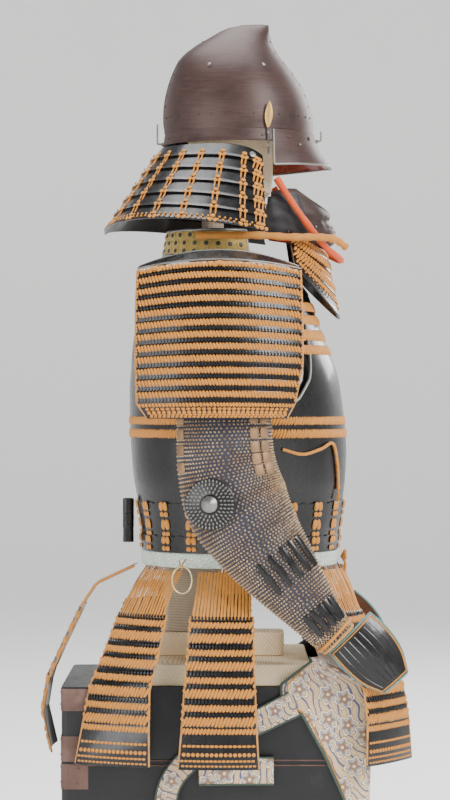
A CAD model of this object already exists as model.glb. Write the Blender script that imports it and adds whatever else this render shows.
"""Dresses a laced samurai armour, its stand and its chest over the packed frame."""
import bmesh
import bpy
import math
from types import SimpleNamespace
import numpy as np
from bpy.props import FloatProperty, FloatVectorProperty, PointerProperty
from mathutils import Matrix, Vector


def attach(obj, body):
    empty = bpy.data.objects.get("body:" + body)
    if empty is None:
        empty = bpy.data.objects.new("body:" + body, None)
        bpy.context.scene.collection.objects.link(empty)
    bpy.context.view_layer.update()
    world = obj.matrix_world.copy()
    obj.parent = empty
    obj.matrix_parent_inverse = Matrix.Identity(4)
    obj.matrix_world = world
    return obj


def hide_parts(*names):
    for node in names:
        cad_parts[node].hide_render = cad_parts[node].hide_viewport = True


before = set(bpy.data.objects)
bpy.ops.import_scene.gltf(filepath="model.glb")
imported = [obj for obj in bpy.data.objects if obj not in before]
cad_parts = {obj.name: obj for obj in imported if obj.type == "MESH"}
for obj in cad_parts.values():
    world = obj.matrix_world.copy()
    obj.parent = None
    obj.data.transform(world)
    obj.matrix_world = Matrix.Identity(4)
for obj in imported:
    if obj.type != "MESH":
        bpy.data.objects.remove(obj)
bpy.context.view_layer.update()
MM = 0.001
TORSO_SHIFT = -42.0

bl_info = {
    "name": "Samurai armour",
    "version": (1, 0, 0),
    "blender": (4, 5, 0),
    "location": "3D View > Sidebar > Armour",
    "description": "Builds a laced samurai armour on a stand and a chest",
    "category": "Object",
}

# ------------------------------------------------------------------ sizes, in millimetres
# The armour's own axis is x = 0, y = 0; its front faces -y and its right side is -x.

BOWL = "z back front half", [
    (1318, 125, 119, 103), (1343, 122, 118, 101), (1363, 124, 117.6, 101), (1389, 123, 112, 98),
    (1415, 118, 102, 92), (1442, 109, 84.6, 80), (1467, 95.7, 65, 62), (1487, 72, 52.5, 44),
    (1503, 46, 48, 27), (1514, 27, 47, 14), (1520, 8, 46.5, 6), (1522.5, -28, 46, 0.6),
]
CUIRASS = "z front back half", [
    (620, 155, 156, 164), (660, 155, 156, 164), (700, 162, 160, 166), (740, 168, 167, 169),
    (775, 172, 174, 175), (820, 174, 178, 180), (860, 172, 180, 184), (917, 165, 181, 187),
    (955, 157, 179, 186), (1000, 139, 175, 180), (1050, 121, 165, 165), (1085, 108, 152, 150),
    (1125, 95, 136, 135),
]
FRONT_EDGE = "turn z", [
    (0, 1076), (15, 1080), (26, 1090), (35, 1060), (43, 990), (50, 938), (60, 905), (71, 889),
    (90, 885),
]
BACK_EDGE = "turn z", [
    (0, 1108), (20, 1112), (33, 1112), (42, 1050), (50, 975), (60, 920), (72, 892), (90, 885),
]
SLEEVE = "x y z wide deep", [
    (-196, 22, 1085, 62, 25), (-220, 25, 1010, 70, 27), (-227, 26, 930, 72, 28),
    (-228, 26, 862, 73, 29), (-228, 22, 800, 76, 31), (-228, 6, 742, 80, 32),
    (-228, -24, 690, 71, 30), (-228, -57, 645, 61, 28), (-228, -95, 597, 48, 25),
    (-228, -130, 554, 36, 21), (-227, -152, 532, 31, 18),
]
HAND_GUARD = "x y z wide curl", [
    (-231, -170, 541, 44, 12), (-233, -194, 517, 46, 14), (-230, -219, 489, 41, 14),
    (-222, -242, 463, 24, 8),
]
SHOULDER_GUARD = "v z x rear front bulge sag", [
    (0, 1119, 224, 128, 126, 30, 13), (0.3, 1046, 243, 130, 128, 33, 8),
    (0.65, 961, 254, 130, 128, 34, 4), (0.9, 901, 257, 128, 116, 33, 2),
    (1, 877, 257, 112, 104, 30, 0),
]
SHOULDER_GUARD_Y = 33
MASK = "z front half", [
    (1250, 120, 74), (1228, 134, 76), (1208, 147, 75), (1197, 146, 73), (1188, 151, 71),
    (1173, 158, 66), (1160, 151, 60), (1154, 140, 55),
]
SKIRT_HEIGHTS = [634, 602, 566, 500, 450, 395, 333]
SKIRT_HALF = [44, 46, 49, 52, 55, 58, 62]
SKIRT_PANELS = [
    ("skirt_front", 0, 0, [163, 176, 188, 206, 223, 228, 230]),
    ("skirt_front_right", 36, 38, [170, 187, 204, 232, 279, 288, 290]),
    ("skirt_side_right", 98, 91, [173, 192, 214, 230, 238, 244, 250]),
    ("skirt_back_right", 134, 110, [172, 200, 222, 250, 274, 282, 290]),
    ("skirt_back", 180, 180, [163, 232, 256, 288, 311, 320, 306]),
]
APRON_EDGE = "z back", [
    (497, 84), (454, 140), (424, 140), (406, 106), (340, 70), (273, 40), (200, 26), (118, 21),
]
APRON = SimpleNamespace(top=497, fold=454, drop=379, face=-204, corner=13, flat=149, split=7,
                        lean=80)
RING = SimpleNamespace(x=-205, y=92, z=622, half=15.5, tall=21, wire=1.5)
CHEST = SimpleNamespace(width=330, length=484, corner=9, proud=1.2, iron=34)

# ------------------------------------------------------------------ reading sizes


class Profile:
    """Sizes given in rows, read smoothly between them."""

    def __init__(self, table):
        names, rows = table
        self.names = names.split()
        self.rows = np.array(rows, float)
        self.slopes = np.gradient(self.rows, axis=0)

    def at(self, share):
        """Reads the sizes at a share from 0, the first row, to 1, the last."""
        place = np.clip(share, 0, 1) * (len(self.rows) - 1)
        i = np.minimum(place.astype(int), len(self.rows) - 2)
        t = (place - i)[..., None]
        a, b, da, db = self.rows[i], self.rows[i + 1], self.slopes[i], self.slopes[i + 1]
        values = (
            (2 * t**3 - 3 * t**2 + 1) * a + (t**3 - 2 * t**2 + t) * da
            + (3 * t**2 - 2 * t**3) * b + (t**3 - t**2) * db
        )
        return SimpleNamespace(**{n: values[..., k] for k, n in enumerate(self.names)})

    def by(self, name, value):
        """Reads the sizes where one of them has a value."""
        shares = np.linspace(0, 1, 600)
        column = getattr(self.at(shares), name)
        if column[-1] < column[0]:
            shares, column = shares[::-1], column[::-1]
        return self.at(np.interp(value, column, shares))


def power(value, exponent):
    return np.sign(value) * np.abs(value) ** exponent


def xyz(x, y, z):
    return np.stack(np.broadcast_arrays(x, y, z), -1).astype(float)


def unit(v):
    return v / np.maximum(np.linalg.norm(v, axis=-1, keepdims=True), 1e-12)


def turned(turn):
    """Sine and cosine of a turn in degrees from the front towards the right side."""
    angle = np.radians(turn)
    return np.sin(angle), np.cos(angle)


class Surface:
    """A sheet of points by u across and v down, with directions along it and away."""

    def __init__(self, shape, middle=(0.0, 0.0)):
        self.shape = shape
        self.middle = np.array([*middle, 0.0])
        self.side = 1.0
        p, _, _, n = self.frame(np.array([0.31]), np.array([0.5]))
        away = (p - self.middle) * (1, 1, 0)
        if float((n * away).sum()) < 0:
            self.side = -1.0

    def frame(self, u, v, out=0.0):
        """The point, the direction along u, the one along v, and the one away."""
        u, v = np.broadcast_arrays(np.asarray(u, float), np.asarray(v, float))
        e = 2e-3
        across = self.shape(u + e, v) - self.shape(u - e, v)
        down = self.shape(u, v + e) - self.shape(u, v - e)
        away = unit(np.cross(across, down)) * self.side
        across = unit(across)
        along = unit(np.cross(away, across))
        along *= np.sign((along * down).sum(-1, keepdims=True))
        return self.shape(u, v) + away * np.asarray(out)[..., None], across, along, away

    def at(self, u, v, out=0.0):
        return self.frame(u, v, out)[0]

    def width(self, v, start=-1.0, end=1.0):
        u = np.linspace(start, end, 60)
        return float(np.linalg.norm(np.diff(self.shape(u, u * 0 + v), axis=0), axis=1).sum())

    def height(self, top, bottom, u=0.3):
        v = np.linspace(top, bottom, 30)
        return float(np.linalg.norm(np.diff(self.shape(v * 0 + u, v), axis=0), axis=1).sum())


# ------------------------------------------------------------------ making meshes


class Form:
    """Gathers the faces of one piece, with a finish for each of them."""

    def __init__(self, name, *finishes):
        self.name = name
        self.finishes = finishes
        self.points, self.faces, self.slots, self.flat = [], [], [], []
        self.count = 0

    def put(self, points, faces, slot=0, flat=None):
        """Adds points, their faces and their places on the flat cloth."""
        points = np.asarray(points, float).reshape(-1, 3)
        faces = np.asarray(faces)
        self.points.append(points)
        self.faces += (faces + self.count).tolist()
        self.slots += [slot] * len(faces)
        if flat is None:
            flat = points[:, [1, 2]]
        self.flat.append(np.asarray(flat, float).reshape(-1, 2))
        self.count += len(points)

    def grid(self, points, slot=0, wrap=False, flat=None):
        """Adds a sheet of rows and columns of points."""
        rows, columns = points.shape[:2]
        r = np.arange(rows - 1)[:, None]
        c = np.arange(columns if wrap else columns - 1)[None, :]
        d = (c + 1) % columns
        quads = np.stack([r * columns + c, r * columns + d, (r + 1) * columns + d,
                          (r + 1) * columns + c], -1)
        self.put(points, quads.reshape(-1, 4), slot, flat)

    def wall(self, surface, us, vs, out=0.0, back=-2.0, slot=0, wrap=False, lining=None):
        """Adds a wall on a surface, closed round its edges."""
        u, v = np.meshgrid(us, vs)
        out = np.broadcast_to(np.asarray(out, float), (len(vs),))[:, None] + 0 * u
        back = np.broadcast_to(np.asarray(back, float), (len(vs),))[:, None] + 0 * u
        outer = surface.at(u, v, out)
        inner = surface.at(u, v, back)
        across = surface.width(float(np.mean(vs))) / 2 * MM
        down = surface.height(float(min(vs)), float(max(vs))) / max(np.ptp(vs), 1e-6) * MM
        flat = np.stack([u * across, -v * down], -1)
        self.grid(outer, slot, wrap, flat)
        self.grid(inner, slot if lining is None else lining, wrap, flat)
        edges = [np.stack([outer[0], inner[0]]), np.stack([outer[-1], inner[-1]])]
        flats = [np.stack([flat[0], flat[0]]), np.stack([flat[-1], flat[-1]])]
        if not wrap:
            edges += [np.stack([outer[:, k], inner[:, k]]) for k in (0, -1)]
            flats += [np.stack([flat[:, k], flat[:, k]]) for k in (0, -1)]
        for k, edge in enumerate(edges):
            self.grid(edge, slot, wrap and k < 2, flats[k])

    def stamp(self, shape, frames, size, slot=0, lean=0.0):
        """Copies a small shape to every frame, scaled and leaned within the surface."""
        verts, faces = shape
        p, a, d, n = (x.reshape(-1, 3) for x in frames)
        size = np.broadcast_to(np.asarray(size, float), (len(p), 3))
        lean = np.broadcast_to(np.asarray(lean, float).reshape(-1), (len(p),))[:, None]
        local = verts[None] * size[:, None, :]
        x = local[..., 0] * np.cos(lean) + local[..., 1] * np.sin(lean)
        y = -local[..., 0] * np.sin(lean) + local[..., 1] * np.cos(lean)
        points = (
            p[:, None] + x[..., None] * a[:, None] + y[..., None] * d[:, None]
            + local[..., 2:] * n[:, None]
        )
        step = (np.arange(len(p)) * len(verts))[:, None, None]
        flat = local[..., :2] * MM + (np.arange(len(p)) * 0.0137)[:, None, None]
        for kind in (3, 4):
            chosen = np.array([f for f in faces if len(f) == kind])
            if len(chosen):
                self.faces += (chosen[None] + step + self.count).reshape(-1, kind).tolist()
                self.slots += [slot] * (len(chosen) * len(p))
        self.points.append(points.reshape(-1, 3))
        self.flat.append(flat.reshape(-1, 2))
        self.count += len(points) * len(verts)

    def tube(self, path, radius, slot=0, sides=8, closed=False, flatten=1.0, ply=0.0, turns=0.0):
        """Adds a cord along a path; ply and turns give it twisted strands."""
        path = np.asarray(path, float)
        count = len(path)
        along = np.gradient(path, axis=0)
        if closed:
            along = np.roll(path, -1, 0) - np.roll(path, 1, 0)
        along = unit(along)
        side = np.zeros_like(path)
        start = np.cross(along[0], (0.0, 0.0, 1.0))
        if np.linalg.norm(start) < 0.1:
            start = np.cross(along[0], (0.0, 1.0, 0.0))
        side[0] = unit(start)
        for i in range(1, count):
            side[i] = unit(side[i - 1] - along[i] * (side[i - 1] @ along[i]))
        up = np.cross(along, side)
        angle = np.arange(sides) / sides * 2 * math.pi
        length = np.concatenate([[0], np.cumsum(np.linalg.norm(np.diff(path, axis=0), axis=1))])
        radius = np.broadcast_to(np.asarray(radius, float), (count,))[:, None]
        swell = 1 + ply * np.abs(np.sin(angle[None] + turns * length[:, None]))
        ring = (
            path[:, None] + (radius * swell * np.cos(angle))[..., None] * side[:, None]
            + (radius * swell * flatten * np.sin(angle))[..., None] * up[:, None]
        )
        flat = np.stack(np.broadcast_arrays(angle[None] * radius * MM, length[:, None] * MM), -1)
        if closed:
            ring = np.concatenate([ring, ring[:1]])
            flat = np.concatenate([flat, flat[:1]])
        self.grid(ring, slot, True, flat)
        if not closed:
            for end in (0, -1):
                cap = np.concatenate([ring[end], ring[end].mean(0, keepdims=True)])
                ends = [(k, (k + 1) % sides, sides) for k in range(sides)]
                self.put(cap, ends, slot, np.zeros((sides + 1, 2)))

    def build(self, replaces=(), mirror=False, slot=None, sharp=40.0, weld=False,
              body="armour"):
        """Makes the object, rides it on its body and names what it replaces."""
        points = np.concatenate(self.points)
        if mirror:
            points = points * (-1, 1, 1)
            self.faces = [face[::-1] for face in self.faces]
        points = (points + (0, TORSO_SHIFT, 0)) * MM
        mesh = bpy.data.meshes.new(self.name)
        mesh.from_pydata(points.tolist(), [], self.faces)
        for finish in self.finishes:
            mesh.materials.append(FINISHES[finish])
        mesh.polygons.foreach_set("material_index", self.slots)
        mesh.polygons.foreach_set("use_smooth", [True] * len(self.faces))
        flat = np.concatenate(self.flat)
        corners = np.empty(len(mesh.loops), np.int32)
        mesh.loops.foreach_get("vertex_index", corners)
        layer = mesh.uv_layers.new(name="cloth")
        layer.data.foreach_set("uv", flat[corners].astype(np.float32).ravel())
        if weld:
            shell = bmesh.new()
            shell.from_mesh(mesh)
            bmesh.ops.remove_doubles(shell, verts=shell.verts, dist=2e-6)
            bmesh.ops.recalc_face_normals(shell, faces=shell.faces)
            shell.to_mesh(mesh)
            shell.free()
        mesh.validate()
        mesh.update()
        mesh.set_sharp_from_angle(angle=math.radians(sharp))
        piece = bpy.data.objects.new(self.name, mesh)
        bpy.context.scene.collection.objects.link(piece)
        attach(piece, body)
        for node in replaces:
            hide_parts(node)
        return piece


def pad_shape(sides=10, square=2.6, rings=((1.0, 0.0), (0.92, 0.62), (0.6, 0.95))):
    """A low cushion with a rounded outline, for laces, dots, ribs and rivets."""
    angle = np.arange(sides) / sides * 2 * math.pi
    x = power(np.cos(angle), 2 / square)
    y = power(np.sin(angle), 2 / square)
    verts = [np.stack([x * r, y * r, 0 * x + z], -1) for r, z in rings]
    verts = np.concatenate([*verts, [[0, 0, 1.0]]])
    faces = []
    for k in range(len(rings) - 1):
        for i in range(sides):
            j = (i + 1) % sides
            faces.append((k * sides + i, k * sides + j, (k + 1) * sides + j, (k + 1) * sides + i))
    last = (len(rings) - 1) * sides
    faces += [(last + i, last + (i + 1) % sides, len(verts) - 1) for i in range(sides)]
    return verts, faces


LACE = pad_shape(10, 2.6, ((1.0, 0.0), (0.86, 0.5), (0.5, 0.92)))
DOT = pad_shape(8, 2.0)
RIB = pad_shape(6, 3.0, ((1.0, 0.0), (0.7, 0.8)))
LINK = pad_shape(4, 2.0, ((1.0, 0.0),))
PLATE = pad_shape(12, 5.0, ((1.0, 0.0), (0.97, 0.7), (0.85, 1.0)))


def dome_path(points, count):
    """A smooth line through a few points."""
    points = np.asarray(points, float)
    names = "x y z", [tuple(p) for p in points]
    row = Profile(names).at(np.linspace(0, 1, count))
    return np.stack([row.x, row.y, row.z], -1)


def across(surface, v, pitch, start=-1.0, end=1.0, inset=0.5):
    """Even places across a surface at a height, a pitch apart."""
    count = max(2, round(surface.width(v, start, end) / pitch))
    return start + (end - start) * (np.arange(count) + inset) / count


def lace_band(form, surface, top, bottom, pitch=4.4, lean=0.38, thick=1.7, out=0.0, slot=0,
              start=-1.0, end=1.0, shape=LACE, fill=0.48, seed=0):
    """A band of laces side by side, each standing a little slanted."""
    middle = (top + bottom) / 2
    u = across(surface, middle, pitch, start, end)
    tall = surface.height(top, bottom)
    rng = np.random.default_rng(seed + int(abs(top) * 1000))
    frames = surface.frame(u, u * 0 + middle, out)
    size = np.stack([
        u * 0 + pitch * fill, tall * 0.5 * (1.06 + 0.05 * rng.standard_normal(len(u))),
        thick * (1 + 0.1 * rng.standard_normal(len(u))),
    ], -1)
    form.stamp(shape, frames, size, slot, lean + 0.05 * rng.standard_normal(len(u)))


# ------------------------------------------------------------------ colours and finishes

FINISHES = {}


def paint(red, green, blue):
    """A colour as mixed by eye, 0 to 255, in linear light."""
    values = [c / 255 for c in (red, green, blue)]
    return tuple(c / 12.92 if c < 0.04045 else ((c + 0.055) / 1.055) ** 2.4 for c in values)


class Value:
    """A socket in a finish, with arithmetic that adds its Math nodes."""

    def __init__(self, finish, socket):
        self.finish, self.socket = finish, socket

    def math(self, operation, *values):
        return self.finish.node("ShaderNodeMath", {"operation": operation}, dict(enumerate(values)))

    def __add__(self, other):
        return self.math("ADD", self, other)

    def __radd__(self, other):
        return self.math("ADD", other, self)

    def __sub__(self, other):
        return self.math("SUBTRACT", self, other)

    def __rsub__(self, other):
        return self.math("SUBTRACT", other, self)

    def __mul__(self, other):
        return self.math("MULTIPLY", self, other)

    def __rmul__(self, other):
        return self.math("MULTIPLY", other, self)

    def __truediv__(self, other):
        return self.math("DIVIDE", self, other)

    def __mod__(self, other):
        return self.math("FLOORED_MODULO", self, other)

    def __lt__(self, other):
        return self.math("LESS_THAN", self, other)

    def __gt__(self, other):
        return self.math("GREATER_THAN", self, other)

    def __abs__(self):
        return self.math("ABSOLUTE", self)

    def sine(self):
        return self.math("SINE", self)

    def root(self):
        return self.math("SQRT", self)

    def most(self, other):
        return self.math("MAXIMUM", self, other)

    def step(self, low, high):
        """Runs smoothly from 0 at low to 1 at high."""
        return self.finish.node(
            "ShaderNodeMapRange", {"interpolation_type": "SMOOTHSTEP"}, {0: self, 1: low, 2: high},
        )


class Finish:
    """A material made of nodes, with what is the same all over set on its shader."""

    def __init__(self, name, **constants):
        self.material = bpy.data.materials.new(name)
        self.material.use_nodes = True
        self.nodes = self.material.node_tree.nodes
        self.links = self.material.node_tree.links
        self.shader = self.nodes["Principled BSDF"]
        for key, value in constants.items():
            self.shader.inputs[key.replace("_", " ")].default_value = value
        FINISHES[name] = self.material

    def node(self, kind, settings=None, sockets=None, out=0):
        """Adds a node of a type with its settings, then its values and links."""
        node = self.nodes.new(kind)
        for key, value in (settings or {}).items():
            setattr(node, key, value)
        self.feed(node, sockets or {})
        return Value(self, node.outputs[out])

    def feed(self, node, sockets):
        for key, value in sockets.items():
            socket = node.inputs[key]
            if isinstance(value, Value):
                self.links.new(value.socket, socket)
            elif socket.type == "RGBA" and len(value) == 3:
                socket.default_value = (*value, 1.0)
            else:
                socket.default_value = value

    def where(self, kind="Object"):
        return self.node("ShaderNodeTexCoord", out=kind)

    def parts(self, vector):
        split = self.nodes.new("ShaderNodeSeparateXYZ")
        self.links.new(vector.socket, split.inputs[0])
        return [Value(self, output) for output in split.outputs]

    def vector(self, operation, *vectors, out=0):
        return self.node("ShaderNodeVectorMath", {"operation": operation}, dict(enumerate(vectors)),
                         out)

    def mix(self, factor, first, second, blend="MIX"):
        """Mixes two colours."""
        return self.node("ShaderNodeMix", {"data_type": "RGBA", "blend_type": blend},
                         {0: factor, 6: first, 7: second}, 2)

    def noise(self, scale, detail=3.0, stretch=(1, 1, 1), kind="Object", rough=0.55):
        place = self.vector("MULTIPLY", self.where(kind), stretch)
        return self.node("ShaderNodeTexNoise", None,
                         {"Vector": place, "Scale": scale, "Detail": detail, "Roughness": rough})

    def cells(self, scale, feature="F1", out="Distance", kind="Object", stretch=(1, 1, 1),
              random=1.0):
        place = self.vector("MULTIPLY", self.where(kind), stretch)
        return self.node("ShaderNodeTexVoronoi", {"feature": feature},
                         {"Vector": place, "Scale": scale, "Randomness": random}, out)

    def finish(self, colour=None, roughness=None, height=None, depth=0.0003, strength=1.0,
               **others):
        """Joins what varies to the shader."""
        sockets = {key.replace("_", " "): value for key, value in others.items()}
        if colour is not None:
            sockets["Base Color"] = colour
        if roughness is not None:
            sockets["Roughness"] = roughness
        if height is not None:
            sockets["Normal"] = self.node(
                "ShaderNodeBump", None,
                {"Strength": strength, "Distance": depth, "Height": height}, "Normal",
            )
        self.feed(self.shader, sockets)
        return self.material


def silk_finish(name, colour, pitch=0.0011, shade=0.55, worn=0.35):
    """Braided silk: fine crossing strands, uneven dye and a soft sheen."""
    f = Finish(name, Sheen_Weight=0.08, Sheen_Roughness=0.4)
    x, y, _ = f.parts(f.where("UV"))
    turns = math.pi / pitch
    one = abs(((x + y) * turns).sine())
    two = abs(((x - y) * turns).sine())
    braid = one.most(two)
    uneven = f.noise(170, 2, (1, 1, 1))
    patch = f.noise(26, 2)
    dark = tuple(c * shade for c in colour)
    pale = tuple(min(1.0, c * 1.28 + 0.02) for c in colour)
    base = f.mix(braid.step(0.25, 0.95), dark, colour)
    base = f.mix(uneven.step(0.42, 0.72) * worn, base, pale)
    base = f.mix(patch.step(0.55, 0.8) * 0.35, base, dark)
    return f.finish(base, 0.55 + uneven * 0.25, braid, 0.00022, 0.7)


def lacquer_finish(name, colour, rough=0.16, dust=0.05, coat=0.9, specks=0.5):
    """Polished lacquer with a little dust, wear and faint waves."""
    f = Finish(name, Coat_Roughness=0.1, Coat_IOR=1.45, Specular_IOR_Level=0.35)
    waves = f.noise(38, 2)
    dusty = f.noise(420, 4)
    rubbed = f.noise(64, 5, (1, 1, 0.35))
    pale = tuple(c + dust for c in colour)
    base = f.mix(rubbed.step(0.55, 0.82) * specks, colour, pale)
    base = f.mix(dusty.step(0.62, 0.8) * 0.35, base, tuple(c + dust * 1.6 for c in colour))
    rough = rough + rubbed.step(0.4, 0.8) * 0.16 + dusty * 0.05
    return f.finish(base, rough, waves * 0.8 + dusty * 0.05, 0.0009, 0.25, Coat_Weight=coat)


def iron_finish(name, colour, brushed=(6, 6, 90), rough=0.36, metal=0.55, deep=0.4):
    """Patinated iron with fine brushing and dark pits."""
    f = Finish(name)
    lines = f.noise(26, 4, brushed)
    pits = f.noise(520, 3)
    patch = f.noise(22, 3)
    dark = tuple(c * 0.45 for c in colour)
    pale = tuple(min(1.0, c * 1.5 + 0.008) for c in colour)
    base = f.mix(lines.step(0.3, 0.7), colour, pale)
    base = f.mix(patch.step(0.45, 0.75) * 0.6, base, dark)
    base = f.mix(pits.step(0.62, 0.75) * 0.5, base, dark)
    rough = rough + lines * 0.18 + pits * 0.08
    return f.finish(base, rough, lines * 0.5 + pits * 0.6, 0.00022, deep,
                    Metallic=metal + patch * 0.1)


def metal_finish(name, colour, rough=0.24, dull=0.2):
    """Polished metal, dulled in patches."""
    f = Finish(name, Metallic=1.0)
    patch = f.noise(90, 4)
    fine = f.noise(700, 2)
    dark = tuple(c * 0.4 for c in colour)
    base = f.mix(patch.step(0.5, 0.8) * dull * 2, colour, dark)
    return f.finish(base, rough + patch * dull + fine * 0.08, fine, 0.00006, 0.4)


def leather_finish(name, colour, rough=0.5):
    """Grained leather with darker creases."""
    f = Finish(name)
    grain = f.cells(900, out="Distance")
    soft = f.noise(60, 4)
    dark = tuple(c * 0.5 for c in colour)
    base = f.mix(soft.step(0.4, 0.75), colour, dark)
    base = f.mix(grain.step(0.3, 0.8) * 0.3, base, dark)
    return f.finish(base, rough + soft * 0.2, grain * 0.5 + soft, 0.00025, 0.6)


def weave_finish(name, colour, thread=0.0007, spread=0.7, sheen=0.2):
    """Plain woven cloth."""
    f = Finish(name, Sheen_Weight=sheen)
    x, y, _ = f.parts(f.where("UV"))
    turns = math.pi / thread
    weave = (x * turns).sine() * (y * turns).sine()
    soft = f.noise(40, 3)
    dark = tuple(c * spread for c in colour)
    base = f.mix(weave.step(-0.8, 0.8), dark, colour)
    base = f.mix(soft.step(0.4, 0.8) * 0.5, base, dark)
    return f.finish(base, 0.72 + soft * 0.16, weave, 0.00016, 0.6)


def link_finish():
    """Fine mail links: worn iron with a warm cast and bright rubbed tops."""
    f = Finish("mail_links")
    spots = f.noise(260, 2)
    patch = f.noise(24, 3)
    warm = f.mix(spots.step(0.3, 0.6), paint(66, 52, 40), paint(188, 162, 126))
    base = f.mix(patch.step(0.36, 0.7) * 0.5, warm, paint(140, 98, 58))
    return f.finish(base, 0.36 + spots * 0.22, spots, 0.0001, 0.4,
                    Metallic=0.2 + patch * 0.3)


def brocade_finish(name, ground, inks, size=0.036, thread=0.0006, speckled=False):
    """Figured cloth: lobed flower heads and clouds among small scrolls."""
    f = Finish(name, Sheen_Weight=0.25)
    where = f.where("UV")
    scale = 1.0 / size
    x, y, _ = f.parts(where)
    scrolls = f.node(
        "ShaderNodeTexWave", {"wave_type": "RINGS", "rings_direction": "SPHERICAL"},
        {"Vector": where, "Scale": scale * 0.9, "Distortion": 9.0, "Detail": 1.0,
         "Detail Scale": 0.9},
        1,
    )
    centre = f.node("ShaderNodeTexVoronoi", {"feature": "F1", "voronoi_dimensions": "2D"},
                    {"Vector": where, "Scale": scale, "Randomness": 0.62}, "Position")
    away = f.vector("SUBTRACT", where, centre)
    ax, ay, _ = f.parts(away)
    far = f.vector("LENGTH", away, out="Value") * scale
    turn = ax.math("ARCTAN2", ay, ax)
    lobed = far * (1.0 + 0.16 * (turn * 6).sine())
    petals = far * (1.0 + 0.3 * (turn * 5 + 1.2).sine())
    base = f.mix((scrolls > 0.86), ground, inks[0])
    base = f.mix((abs(scrolls - 0.35) < 0.05), base, inks[1])
    base = f.mix((lobed < 0.44), base, inks[1])
    base = f.mix((lobed < 0.405), base, inks[2])
    base = f.mix((lobed < 0.33), base, inks[0])
    base = f.mix((lobed < 0.3), base, ground)
    base = f.mix((petals < 0.26), base, inks[3])
    base = f.mix((petals < 0.19), base, inks[1])
    base = f.mix((far < 0.07), base, inks[2])
    if speckled:
        tiny = f.cells(420, kind="UV", random=0.8)
        base = f.mix(tiny < 0.3, base, inks[2])
    turns = math.pi / thread
    weave = (x * turns).sine() * (y * turns * 0.8).sine()
    soft = f.noise(34, 3)
    base = f.mix(weave.step(-1, 0.6) * 0.35, base, ground, "MULTIPLY")
    base = f.mix(soft.step(0.42, 0.8) * 0.3, base, tuple(c * 0.6 for c in ground))
    raised = (lobed < 0.42) * 0.5 + (scrolls > 0.86) * 0.4
    return f.finish(base, 0.62 + soft * 0.2, weave * 0.5 + raised, 0.0002, 0.6)


def wood_finish(name, pale, dark, centre, ring=0.0042):
    """Planed softwood: growth rings about a core, with fibres along x."""
    f = Finish(name)
    place = f.where("Object")
    wander = f.noise(9, 2, (0.5, 1, 1))
    _, y, z = f.parts(place)
    across_grain = y - centre[0]
    height = z - centre[1]
    far = (across_grain * across_grain + height * height * 1.4).root()
    rings = ((far + wander * 0.02) * (2 * math.pi / ring)).sine()
    bands = rings.step(-0.2, 1.0)
    fibres = f.noise(240, 4, (0.05, 1, 1))
    base = f.mix(bands * 0.75, pale, dark)
    base = f.mix(fibres.step(0.45, 0.75) * 0.4, base, dark)
    base = f.mix(f.noise(6, 2).step(0.4, 0.8) * 0.3, base, tuple(c * 0.8 for c in pale))
    return f.finish(base, 0.52 + fibres * 0.2, bands * 0.4 + fibres, 0.00025, 0.4)


def floor_finish(name, colour):
    f = Finish(name, Emission_Color=(0.9, 0.9, 0.9, 1), Emission_Strength=0.32)
    soft = f.noise(3, 4)
    fine = f.noise(160, 4)
    base = f.mix(soft.step(0.3, 0.8) * 0.25, colour, tuple(c * 0.94 for c in colour))
    return f.finish(base, 0.7 + fine * 0.1, fine, 0.0004, 0.15)


def make_finishes(sizes):
    silk = tuple(sizes.lace_colour)
    silk_finish("ochre_silk", silk)
    silk_finish("ochre_pad", paint(186, 120, 40), 0.0013, 0.7)
    silk_finish("orange_pad", tuple(sizes.cord_colour), 0.0012, 0.75, 0.2)
    silk_finish("white_thread", paint(222, 214, 196), 0.0009, 0.7)
    silk_finish("green_piping", paint(58, 74, 62), 0.001)
    silk_finish("teal_binding", paint(92, 128, 122), 0.001)
    lacquer_finish("black_lacquer", paint(7, 6, 7), 0.24, 0.006, 0.25)
    lacquer_finish("inner_lacquer", paint(12, 9, 9), 0.34, 0.02, 0.2)
    lacquer_finish("red_lacquer", paint(134, 26, 12), 0.2, 0.05)
    lacquer_finish("chest_lacquer", paint(14, 15, 18), 0.42, 0.016, 0.12, 0.8)
    lacquer_finish("brown_lacquer", paint(70, 40, 26), 0.24, 0.06)
    iron_finish("russet_iron", paint(50, 29, 24), (1.2, 1.2, 34), 0.36, 0.2)
    iron_finish("mask_iron", paint(46, 31, 27), (1, 1, 1), 0.38, 0.3)
    iron_finish("rust_iron", paint(92, 70, 62), (1, 1, 1), 0.5, 0.5, 0.7)
    metal_finish("silver", paint(196, 194, 186))
    metal_finish("dark_silver", paint(136, 134, 130), 0.32)
    metal_finish("brass", paint(196, 182, 138), 0.26)
    metal_finish("gilt", paint(196, 158, 96), 0.34)
    leather_finish("black_leather", paint(46, 43, 45), 0.42)
    leather_finish("ochre_leather", paint(186, 132, 72), 0.6)
    leather_finish("brown_leather", paint(112, 74, 52), 0.55)
    weave_finish("navy_cloth", paint(44, 45, 58))
    weave_finish("white_cloth", paint(226, 220, 204))
    weave_finish("gilt_cloth", paint(190, 160, 78), 0.0006, 0.6, 0.4)
    iron_finish("plate_iron", paint(122, 94, 66), (1, 1, 1), 0.4, 0.3)
    link_finish()
    navy, white = paint(78, 88, 128), paint(232, 222, 200)
    brown, blue = paint(146, 108, 76), paint(132, 148, 170)
    brocade_finish("beige_brocade", paint(216, 190, 150), (navy, brown, white, blue))
    teal, mist = paint(150, 176, 164), paint(206, 218, 204)
    brocade_finish("teal_brocade", paint(176, 194, 182), (teal, mist, white, blue), 0.016,
                   0.0006, True)
    wood_finish("pale_wood", paint(236, 216, 180), paint(206, 174, 128), (0.16, 0.40))
    wood_finish("grey_wood", paint(176, 160, 138), paint(140, 122, 100), (0.10, 0.2), 0.005)
    floor_finish("pale_floor", paint(240, 239, 237))


# ------------------------------------------------------------------ the stage

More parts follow.
